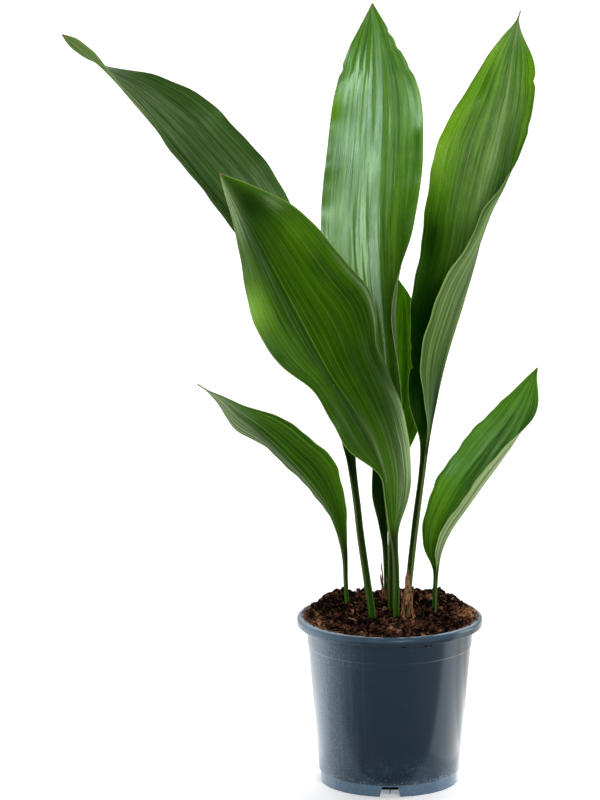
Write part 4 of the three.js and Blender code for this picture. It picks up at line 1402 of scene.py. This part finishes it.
    def build(self) -> bpy.types.Object:
        """Turns the pot from its outline, adds the drains' housings, and cuts the drains and their slots.

        Returns:
            The pot.
        """
        outline = self.outline()
        points = around(outline[:, :1], even_turns(self.segments), outline[:, 1:])
        faces = turned_faces(len(outline), self.segments)
        piece = new_piece("grower_pot", points, faces, PotFinish().build(), self.sharp)
        skin, over, foot, floor = self.drain_skin, self.overrun, self.foot_radius, self.floor_bottom
        ceiling, roof = self.drain_height, self.drain_height + skin
        inner = foot - self.drain_depth
        near = inner + self.slot_margin
        far = near + self.slot_length
        slots, rib = 2 * self.slot_width + self.rib_width, self.rib_width
        house_foot, house_roof = (self.channel_width(level) + 2 * skin for level in (floor, roof))
        mouth_foot, mouth_top = self.channel_width(-over), self.channel_width(ceiling)
        for change, block in (
            (Change.JOIN, (inner - skin, foot - over, floor, roof, house_foot, house_roof)),
            (Change.CUT, (inner, foot + 2 * over, -over, ceiling, mouth_foot, mouth_top)),
            (Change.CUT, (near, far, ceiling - over, roof + over, slots, slots)),
            (Change.JOIN, (inner - skin / 3, far + skin / 3, self.rib_bottom, roof, rib, rib)),
        ):
            self.combine(piece, change, self.blocks(*block))
        piece.data.shade_smooth()
        piece.data.set_sharp_from_angle(angle=math.radians(self.sharp))
        return piece

    def inside(self, height: np.ndarray) -> np.ndarray:
        """The inner wall's radius at a height.

        Args:
            height: The heights.

        Returns:
            The radius at each height.
        """
        levels = [self.floor_top, self.foot_height, self.shoulder_height, self.height - 7]
        foot, shoulder = self.foot_radius, self.radius_at_shoulder - self.wall
        radii = [foot - 1.8, foot - 0.6, shoulder, self.radius_under_lip - self.wall]
        return np.interp(height, levels, radii)


# ---------- soil ----------


@dataclass
class Soil:
    """Loose peaty soil heaped towards the back, and the bare surfaces on which its grains are strewn.

    A mound or a pale patch is its place to the right and behind, its spread, and its height or strength.
    A wave is its height, then its rate and its phase to the right, and its rate and its phase behind.
    """

    pot: Pot
    front_level: float = 122.5
    rise: float = 9.0
    rise_from: float = -20.0
    rise_to: float = 55.0
    side_rise: float = 3.0
    side_rise_across: Pair = (36, 58)
    side_rise_deep: Pair = (-50, -15)
    waves: tuple[tuple[float, ...], ...] = ((1.5, 0.29, 1.1, 0.25, 0.4), (1.0, 0.55, 2, 0.41, 0.9))
    mounds: tuple[tuple[float, ...], ...] = ((34, 33, 16, 6.5), (-36, 31, 14, 6.5), (14, 40, 12, 3.5))
    pale_patches: tuple[tuple[float, ...], ...] = (
        (59, 4, 7, 1.5), (-55, -14, 8, 0.6), (18, -6, 6, 0.3), (-16, 30, 6, 0.2), (-20, -46, 6, 0.3),
    )
    edge_radius: float = 62.6
    edge_width: float = 5.0
    edge_drop: float = 1.5
    edge_calm: float = 0.6
    clearance: float = 0.25
    swell_size: float = 11.0
    swell_height: float = 1.6
    lump_size: float = 7.5
    lump_height: float = 1.9
    grain_size: float = 3.1
    sink: float = 1.3
    body_tone: float = 0.4
    rings: int = 150
    ring_crowding: float = 0.8
    last_ring: float = 0.002
    segments: int = 420
    spills: tuple[Pair, ...] = ((-34, 52), (128, 232))
    spill_rows: int = 8
    spill_columns: int = 40
    spill_radius: float = 61.0
    spill_width: float = 5.8
    spill_level: float = 125.0
    spill_rise: float = 3.2

    @staticmethod
    def mound(x: np.ndarray, y: np.ndarray, spot: tuple[float, ...]) -> np.ndarray:
        """A mound's height, or a patch's strength, at each place."""
        across, deep, spread, strength = spot
        return strength * np.exp(-(((x - across) ** 2 + (y - deep) ** 2) / spread**2))

    def level(self, x: np.ndarray, y: np.ndarray) -> np.ndarray:
        """The surface's height: low in front, higher at the sides and the back, with waves and mounds.

        Args:
            x: Places to the right of the pot's axis.
            y: Places behind the pot's axis.

        Returns:
            The heights.
        """
        level = self.front_level + self.rise * smooth_step(y, self.rise_from, self.rise_to)
        for height, x_rate, x_phase, y_rate, y_phase in self.waves:
            level = level + height * np.sin(x_rate * x + x_phase) * np.sin(y_rate * y + y_phase)
        side = smooth_step(np.abs(x), *self.side_rise_across)
        level = level + self.side_rise * side * smooth_step(y, *self.side_rise_deep)
        return sum((self.mound(x, y, spot) for spot in self.mounds), level)

    @staticmethod
    def lump(across: float, deep: float, size: float, layer: float) -> float:
        """A rounded lump's share of its height at a place, with creases between lumps of one size."""
        away = noise.voronoi(Vector((across / size, deep / size, layer)))[0][0]
        return 1 - 2.2 * away * away

    def rough(self, across: float, deep: float) -> float:
        """Height of the clods and grains at a place of the surface.

        Args:
            across: The place to the right of the axis.
            deep: The place behind the axis.

        Returns:
            The height over the even surface.
        """
        place = Vector((across / self.swell_size, deep / self.swell_size, 3.1))
        swell = noise.fractal(place, 0.9, 2.1, 3)
        big = self.lump(across, deep, self.lump_size, 0.4)
        small = self.lump(across, deep, self.grain_size, 7.9)
        return self.swell_height * swell + self.lump_height * big + small - self.sink

    def top(self) -> tuple[np.ndarray, np.ndarray]:
        """The surface's points as rings from the rim inwards, and how pale each one is.

        Returns:
            The points, rings by turns, and their paleness.
        """
        radius = self.edge_radius * np.linspace(1, self.last_ring, self.rings)[:, None] ** self.ring_crowding
        points = around(radius, even_turns(self.segments), np.zeros(1))
        x, y = points[..., 0], points[..., 1]
        edge = smooth_step(radius, self.edge_radius - self.edge_width, self.edge_radius)
        rough = np.vectorize(self.rough)(x, y)
        points[..., 2] = self.level(x, y) + rough * (1 - self.edge_calm * edge) - self.edge_drop * edge
        return points, sum(self.mound(x, y, spot) for spot in self.pale_patches)

    def build(self) -> bpy.types.Object:
        """Makes the body of soil, which fills the pot down to its floor.

        Returns:
            The body of soil.
        """
        top, pale = self.top()
        pot = self.pot
        levels = np.array([pot.floor_top + 0.3, 9.6, 12.0, 60.0, pot.shoulder_height, 117.0])[:, None]
        side = around(pot.inside(levels) - self.clearance, even_turns(self.segments), levels)
        points = np.concatenate([side, top])
        faces = turned_faces(len(points), self.segments)
        # the bare surface under the grains: near black, partly dark peat and partly painted shade between the
        # grains
        piece = new_piece("potting_soil", points, faces, EarthFinish("soil_peat").build(), 180)
        paint(piece, "pale", np.concatenate([np.zeros(side.shape[:2]), pale]))
        paint(piece, "tone", np.full(len(piece.data.vertices), self.body_tone))
        return piece

    def carrier(self) -> bpy.types.Object:
        """The bare surface, without the wall and the floor, to strew grains on.

        Returns:
            The surface, which is removed once the grains are made.
        """
        top, pale = self.top()
        piece = new_piece("soil_carrier", top, grid_faces(self.rings, self.segments, closed=True))
        paint(piece, "pale", pale)
        return piece

    def spill(self) -> bpy.types.Object:
        """Two patches of the lip, at the left and the right, where soil has spilled.

        Returns:
            The two patches, which are removed once the grains are made.
        """
        rows, columns = self.spill_rows, self.spill_columns
        share = np.linspace(0, 1, rows)[:, None]
        radius = self.spill_radius + self.spill_width * share
        height = self.spill_level + self.spill_rise * np.minimum(share * 1.8, 1)
        points, faces, pale = [], [], []
        for start, end in self.spills:
            turns = np.radians(np.linspace(start, end, columns))[None, :]
            first = len(points) * rows * columns
            faces += [quad[::-1] for quad in grid_faces(rows, columns, closed=False, start=first)]
            points.append(around(radius, turns, height))
            pale.append(0.35 + 0.3 * np.sin(5 * turns) * (1 - share))
        piece = new_piece("spill_carrier", np.concatenate(points), faces)
        paint(piece, "pale", np.concatenate(pale))
        return piece


class Grain(Enum):
    """What is strewn on the soil."""

    CRUMB = "crumb"
    CLOD = "clod"
    CHIP = "chip"
    FIBRE = "fibre"


# A grain's least and greatest length along x, y and z, as shares of its size, and its lean in radians.
GRAIN_FORMS = {
    Grain.CRUMB: ((0.6, 0.6, 0.5), (1.25, 1.1, 1.0), math.pi),
    Grain.CLOD: ((0.7, 0.7, 0.6), (1.3, 1.1, 1.0), math.pi),
    Grain.CHIP: ((1.6, 0.6, 0.22), (2.8, 1.0, 0.4), 0.7),
    Grain.FIBRE: ((0.7, 0.7, 0.7), (1.2, 1.4, 1.4), 0.6),
}


@dataclass
class Scatter:
    """Grains of one kind strewn over a surface by a geometry node tree.

    The density is in grains a square metre, and the sizes are multiples of a grain a millimetre across.
    """

    grain: Grain
    density: float
    smallest: float
    largest: float
    seed: int
    finish: EarthFinish
    ragged: float = 0.5
    clumped: float = 0.0
    clump_gain: float = 8.0
    wobble_scale: float = 430.0
    wobble_reach: float = 4.0

    def shape(self, tree: Tree) -> Wire:
        """One grain a millimetre across, or one fibre a millimetre long.

        Args:
            tree: The node tree that it is added to.

        Returns:
            The mesh of one grain.
        """
        if self.grain is Grain.FIBRE:
            ends = {"Start": (-0.5 * MM, 0, 0), "Middle": (0, 0.3 * MM, 0.16 * MM), "End": (0.5 * MM, 0, 0)}
            path = tree.add("GeometryNodeCurveQuadraticBezier", Resolution=5, **ends)
            ring = tree.add("GeometryNodeCurvePrimitiveCircle", Resolution=3, Radius=0.019 * MM)
            return tree.add("GeometryNodeCurveToMesh", Curve=path, Profile_Curve=ring, Fill_Caps=True)
        if self.grain is Grain.CLOD:
            return tree.add("GeometryNodeMeshUVSphere", Radius=0.5 * MM, Segments=8, Rings=6)
        return tree.add("GeometryNodeMeshIcoSphere", Radius=0.5 * MM, Subdivisions=1)

    def tree(self) -> bpy.types.NodeTree:
        """The node tree, whose last steps are Realize Instances, a ragged skin and Set Material.

        Returns:
            The node tree.
        """
        group = bpy.data.node_groups.new(f"scatter_{self.grain.value}", "GeometryNodeTree")
        for name, kind in (
            ("Geometry", "Geometry"), ("Density", "Float"), ("Smallest", "Float"), ("Largest", "Float"),
            ("Finish", "Material"),
        ):
            group.interface.new_socket(name, in_out="INPUT", socket_type=f"NodeSocket{kind}")
        group.interface.new_socket("Geometry", in_out="OUTPUT", socket_type="NodeSocketGeometry")
        tree = Tree(group)
        given = {name: tree.add("NodeGroupInput", out=name) for name in ("Geometry", "Density", "Finish")}
        sizes = [tree.add("NodeGroupInput", out=name) for name in ("Smallest", "Largest")]
        least, most, lean = GRAIN_FORMS[self.grain]
        tone, size, form, turn = (
            tree.add("FunctionNodeRandomValue", *limits, Seed=self.seed + k, data_type=kind)
            for k, kind, limits in (
                (1, "FLOAT", (0.0, 1.0)),
                (2, "FLOAT", sizes),
                (3, "FLOAT_VECTOR", (least, most)),
                (4, "FLOAT_VECTOR", ((-lean, -lean, -math.pi), (lean, lean, math.pi))),
            )
        )
        pale = tree.add("GeometryNodeInputNamedAttribute", Name="pale", data_type="FLOAT")
        density = (pale * (self.clump_gain * self.clumped) + (1 - self.clumped)) * given["Density"]
        ground = given["Geometry"]
        step = tree.add("GeometryNodeDistributePointsOnFaces", ground, Density=density, Seed=self.seed)
        step = tree.add("GeometryNodeStoreNamedAttribute", step, Name="tone", Value=tone, data_type="FLOAT")
        scale = tree.add("ShaderNodeVectorMath", form, Scale=size, operation="SCALE")
        grain = self.shape(tree)
        step = tree.add("GeometryNodeInstanceOnPoints", step, Instance=grain, Rotation=turn, Scale=scale)
        step = tree.add("GeometryNodeRealizeInstances", step)
        wobble = tree.add("ShaderNodeTexNoise", out="Color", Scale=self.wobble_scale, Detail=3.0)
        push = tree.add("ShaderNodeVectorMath", wobble, (0.5, 0.5, 0.5), operation="SUBTRACT")
        reach = self.ragged * self.wobble_reach * MM
        push = tree.add("ShaderNodeVectorMath", push, Scale=reach, operation="SCALE")
        step = tree.add("GeometryNodeSetPosition", step, Offset=push)
        step = tree.add("GeometryNodeSetMaterial", step, Material=given["Finish"])
        group.links.new(step.socket, group.nodes.new("NodeGroupOutput").inputs[0])
        return group

    def build(self, name: str, carrier: bpy.types.Object) -> bpy.types.Object:
        """Strews the grains over a carrier.

        Args:
            name: The new piece's name.
            carrier: The surface.

        Returns:
            The grains as one plain mesh.
        """
        piece = place_object(name, carrier.data.copy())
        modifier = piece.modifiers.new("scatter", "NODES")
        modifier.node_group = self.tree()
        inputs = {item.name: item.identifier for item in modifier.node_group.interface.items_tree}
        for name, value in (
            ("Density", self.density), ("Smallest", self.smallest), ("Largest", self.largest),
            ("Finish", self.finish.build()),
        ):
            modifier[inputs[name]] = value
        apply_modifier(piece)
        return piece


# ---------- scale leaves ----------


@dataclass(frozen=True)
class Strip:
    """One torn strip of a scale leaf.

    It has a bearing round the stem, half the angle that it wraps, its lower and upper level, and how far its
    lower and upper end peel off.
    """

    bearing: float
    half_wrap: float
    bottom: float
    top: float
    peel_bottom: float
    peel_top: float


@dataclass
class ScaleLeaf:
    """A dry papery scale leaf round the foot of a stem, torn into strips and threads."""

    node: str
    centre: Pair
    lean: Pair
    stem_half: float
    strips: tuple[Strip, ...]
    threads: int
    seed: int
    levels: int = 36
    steps: int = 14
    thickness: float = 0.22
    foot: float = 117.0
    gap: float = 0.45
    least_gap: float = 0.15
    lane_width: float = 30.0
    sway: float = 10.0
    thread_rise: Pair = (0.0, 10.0)
    thread_bearing: Pair = (-95.0, 75.0)
    thread_half_wrap: Pair = (3.0, 9.0)
    thread_length: Pair = (9.0, 26.0)
    thread_peels: tuple[Pair, ...] = ((-0.3, 3.5), (-0.3, 3.0))

    def loose(self, draw: np.random.Generator) -> Strip:
        """One thin thread torn off the scale leaf.

        Args:
            draw: The random numbers for its place and size.

        Returns:
            The thread, as a strip.
        """
        bottom = self.foot + draw.uniform(*self.thread_rise)
        bearing, half_wrap = draw.uniform(*self.thread_bearing), draw.uniform(*self.thread_half_wrap)
        top = bottom + draw.uniform(*self.thread_length)
        peels = [draw.uniform(*limits) for limits in self.thread_peels]
        return Strip(bearing, half_wrap, bottom, top, *peels)

    def ribbon(self, strip: Strip, draw: np.random.Generator) -> np.ndarray:
        """The outer and the inner points of a strip.

        Args:
            strip: The strip.
            draw: The random numbers for its torn edge.

        Returns:
            The points, sides by levels by steps.
        """
        share = np.linspace(0, 1, self.levels)[:, None]
        across = np.linspace(-1, 1, self.steps)[None, :]
        phases = draw.uniform(0, TURN, 6)
        tear = 0.1 * np.sin(9 * across + phases[0]) + 0.07 * np.sin(23 * across + phases[1])
        torn = share + tear * share * 0.6 - tear * (1 - share) * 0.8
        z = strip.bottom + (strip.top - strip.bottom) * torn
        taper = np.minimum((1 - share) * 1.6, 1) ** 0.8 * (0.72 + 0.28 * np.minimum(share * 4, 1))
        ragged = 1 + 0.13 * np.sin(15 * share + phases[2]) + 0.07 * np.sin(37 * share + phases[3] + across)
        wrap = math.radians(strip.half_wrap) * (taper + 0.05) * ragged
        sway = math.radians(self.sway) * np.sin(4 * share + phases[4])
        angle = math.radians(strip.bearing - 90) + across * wrap + sway
        wrinkle = 0.3 * np.sin(5 * across + 8 * share + phases[5]) + 0.12 * np.sin(31 * share + 3 * across)
        off = self.gap + strip.peel_bottom * (1 - share) ** 2.5 + strip.peel_top * share**2.5 + wrinkle * 0.8
        radius = self.stem_half + np.maximum(off, self.least_gap)
        x = self.centre[0] + self.lean[0] * (z - self.foot) + radius * np.cos(angle)
        y = self.centre[1] + self.lean[1] * (z - self.foot) + radius * np.sin(angle)
        outer = np.stack([x, y, z], -1)
        return np.stack([outer, outer - self.thickness * around(np.ones(1), angle, np.zeros(1))])

    def build(self, material: bpy.types.Material) -> bpy.types.Object:
        """Makes the scale leaf's mesh in a finish.

        Args:
            material: The finish.

        Returns:
            The scale leaf, with its ribbons and threads.
        """
        draw = np.random.default_rng(self.seed)
        strips = (*self.strips, *(self.loose(draw) for _ in range(self.threads)))
        points = np.stack([self.ribbon(strip, draw) for strip in strips])
        size = points[0, ..., 0].size
        sheet = skin_faces(self.levels, self.steps)
        faces = [tuple(k * size + corner for corner in face) for k in range(len(strips)) for face in sheet]
        piece = new_piece(f"{self.node}_paper", points, faces, material)
        steps = np.linspace(-1, 1, self.steps)
        lanes = [(strip.bearing + steps * strip.half_wrap) / self.lane_width for strip in strips]
        paint(piece, "across", np.concatenate([np.tile(lane, 2 * self.levels) for lane in lanes]))
        paint(piece, "along", points[..., 2])
        return piece


SCALE_LEAVES = (
    ScaleLeaf(
        node="sheath_right", centre=(12, 8), lean=(0.07, 0.03), stem_half=2.6, threads=4, seed=61,
        strips=(
            Strip(-25, 56, 134, 162, 0.7, 0.5), Strip(-34, 12, 117, 141, 2.0, 0.4),
            Strip(-62, 6, 119, 137, 3.0, 0.5), Strip(52, 12, 118, 141, 7.0, 0.2),
            Strip(70, 18, 119, 126, 6.5, 5.0), Strip(170, 60, 120, 144, 0.4, 0.4),
        ),
    ),
    ScaleLeaf(
        node="sheath_back", centre=(-2, 34), lean=(0.0, 0.06), stem_half=2.1, threads=9, seed=71,
        strips=(
            Strip(-84, 30, 128, 157, 0.8, 1.6), Strip(-52, 20, 124, 149, 1.5, 2.4),
            Strip(-112, 16, 124, 148, 2.0, 3.0), Strip(-20, 18, 122, 140, 0.6, 2.0),
            Strip(120, 60, 122, 140, 0.4, 0.4),
        ),
    ),
)


# ---------- studio ----------


def panel_light(name: str, size: Pair, radiance: float) -> bpy.types.Object:
    """A rectangular light that the camera doesn't see.

    Args:
        name: Its name.
        size: Its sides in metres.
        radiance: Its brightness, in watts a square metre a steradian.

    Returns:
        The light, in the scene.
    """
    light = bpy.data.lights.new(name, "AREA")
    light.shape = "RECTANGLE"
    light.size, light.size_y = size
    light.energy = radiance * math.pi * size[0] * size[1]
    lamp = place_object(name, light)
    lamp.visible_camera = False
    return lamp


@dataclass(frozen=True)
class Softbox:
    """A rectangular soft light at a bearing from the pot, aimed at a point. Lengths are in metres."""

    name: str
    bearing: float
    elevation: float
    distance: float
    size: Pair
    radiance: float
    aim: Point = (0.0, 0.0, 0.25)

    def build(self) -> None:
        """Puts the light in the scene."""
        turn, rise = math.radians(self.bearing), math.radians(self.elevation)
        away = Vector((math.sin(turn) * math.cos(rise), -math.cos(turn) * math.cos(rise), math.sin(rise)))
        lamp = panel_light(self.name, self.size, self.radiance)
        lamp.location = Vector(self.aim) + away * self.distance
        lamp.rotation_euler = away.to_track_quat("Z", "Y").to_euler()


@dataclass(frozen=True)
class FloorGlow:
    """A bright stretch of floor that only glossy faces show, by its edges from the pot's axis in metres."""

    name: str
    front: float
    back: float
    left: float
    right: float
    radiance: float
    lift: float = 0.0006

    def build(self) -> None:
        """Lays the light on the floor, facing up."""
        lamp = panel_light(self.name, (self.right - self.left, self.back - self.front), self.radiance)
        across, deep = (self.left + self.right) / 2, (self.front + self.back) / 2
        lamp.location = (AXIS_X + across, AXIS_Y + deep, self.lift)
        lamp.rotation_euler = (math.pi, 0.0, 0.0)
        lamp.visible_diffuse = False


@dataclass
class Studio:
    """Pale floor, soft lights, air that is dim in front and bright behind, and the camera, in metres."""

    floor_half: float = 7.0
    floor_colour: Rgb = (0.95, 0.95, 0.95)
    floor_glow: float = 0.24
    front_fill: float = 0.12
    back_fill: float = 0.9
    fade: Pair = (-0.35, 0.75)
    camera_offset: Point = (-0.06774, -5.80174, 1.66621)
    camera_pitch: float = 13.3
    lens: float = 357.75
    lights: tuple[Softbox | FloorGlow, ...] = (
        Softbox("key_box", 15, 23, 2.4, (1.0, 0.95), 9.2, aim=(0.05, 0.0, 0.35)),
        Softbox("second_box", -19, 22, 2.4, (0.5, 0.6), 7.0, aim=(0.05, 0.0, 0.35)),
        Softbox("left_box", -122, 12, 1.9, (1.0, 1.6), 1.4),
        Softbox("right_box", 108, 14, 1.9, (0.9, 1.5), 4.6),
        Softbox("back_wash", 180, 52, 3.4, (4.5, 2.6), 2.8, aim=(0.0, 0.8, 0.0)),
        FloorGlow("left_glow", 0.02, 0.5, -0.6, -0.075, 0.98),
        FloorGlow("near_glow", -0.071, 0.06, 0.09, 0.65, 1.2),
        FloorGlow("far_glow", -0.071, 0.17, -0.65, 0.65, 0.9, lift=0.0008),
    )

    def build(self) -> None:
        """Makes the floor, the lights, the air and the camera."""
        self.floor()
        for light in self.lights:
            light.build()
        self.air()
        bpy.context.scene.view_settings.view_transform = "Standard"
        camera = bpy.data.cameras.new("studio_camera")
        camera.lens = self.lens
        camera.clip_end = 100.0
        stand = place_object("studio_camera", camera)
        stand.location = Vector((AXIS_X, AXIS_Y, 0.0)) + Vector(self.camera_offset)
        stand.rotation_euler = (math.radians(90 - self.camera_pitch), 0.0, 0.0)
        bpy.context.scene.camera = stand

    def air(self) -> None:
        """Makes the surroundings, brighter behind the plant."""
        world = bpy.data.worlds.new("studio_air")
        world.use_nodes = True
        tree = Tree(world.node_tree)
        deep = tree.add("ShaderNodeSeparateXYZ", tree.add("ShaderNodeTexCoord", out="Generated"), out="Y")
        background = world.node_tree.nodes["Background"]
        tree.feed(background.inputs["Strength"], deep.span(*self.fade, self.front_fill, self.back_fill))
        tree.feed(background.inputs["Color"], (1.0, 1.0, 1.0))
        bpy.context.scene.world = world

    def floor(self) -> None:
        """Makes the plain pale floor under the pot."""
        material = Sheet("pale_floor").surface(
            Base_Color=self.floor_colour, Roughness=0.9, Specular_IOR_Level=0.0,
            Emission_Color=self.floor_colour, Emission_Strength=self.floor_glow,
        )
        half = self.floor_half
        mesh = bpy.data.meshes.new("floor")
        corners = [(-half, -half, 0), (half, -half, 0), (half, half, 0), (-half, half, 0)]
        mesh.from_pydata(corners, [], [(0, 1, 2, 3)])
        mesh.materials.append(material)
        place_object("floor", mesh)


# ---------- assembly ----------


def main() -> None:
    """Builds the plant's pieces and the studio."""
    logging.basicConfig(level=logging.INFO, format="%(name)s: %(message)s")
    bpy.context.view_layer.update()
    pot = Pot()
    finish_piece(pot.build(), "pot", "pot")
    soil = Soil(pot)
    finish_piece(soil.build(), "soil", "soil")
    ground, rim = soil.carrier(), soil.spill()
    earth = EarthFinish("soil_grains", srgb(10, 6, 4), srgb(96, 60, 44), srgb(206, 152, 108))
    straw = EarthFinish("soil_fibres", srgb(70, 44, 28), srgb(146, 98, 64), srgb(176, 124, 86), paleness=0.12)
    for name, carrier, scatter in (
        ("soil_crumbs", ground, Scatter(Grain.CRUMB, 150000, 1.0, 3.6, 21, earth, ragged=1.1)),
        ("soil_clods", ground, Scatter(Grain.CLOD, 13000, 3.4, 6.5, 31, earth, ragged=1.6)),
        ("bark_chips", ground, Scatter(Grain.CHIP, 12000, 0.8, 2.1, 41, straw, clumped=0.4)),
        ("root_fibres", ground, Scatter(Grain.FIBRE, 36000, 3.0, 11.0, 51, straw, ragged=0.7, clumped=0.5)),
        ("rim_crumbs", rim, Scatter(Grain.CRUMB, 90000, 0.7, 2.2, 81, earth, clumped=0.6)),
        ("rim_fibres", rim, Scatter(Grain.FIBRE, 70000, 2.5, 6.5, 91, straw, clumped=0.7)),
    ):
        finish_piece(scatter.build(name, carrier), "soil")
    bpy.data.objects.remove(ground)
    bpy.data.objects.remove(rim)
    for seed, plan in enumerate(LEAF_PLANS):
        finish_piece(Leaf(plan, seed).build(), "leaf", plan.node)
    paper = PaperFinish().build()
    for scale_leaf in SCALE_LEAVES:
        finish_piece(scale_leaf.build(paper), "sheath", scale_leaf.node)
    Studio().build()


if __name__ == "__main__":
    main()
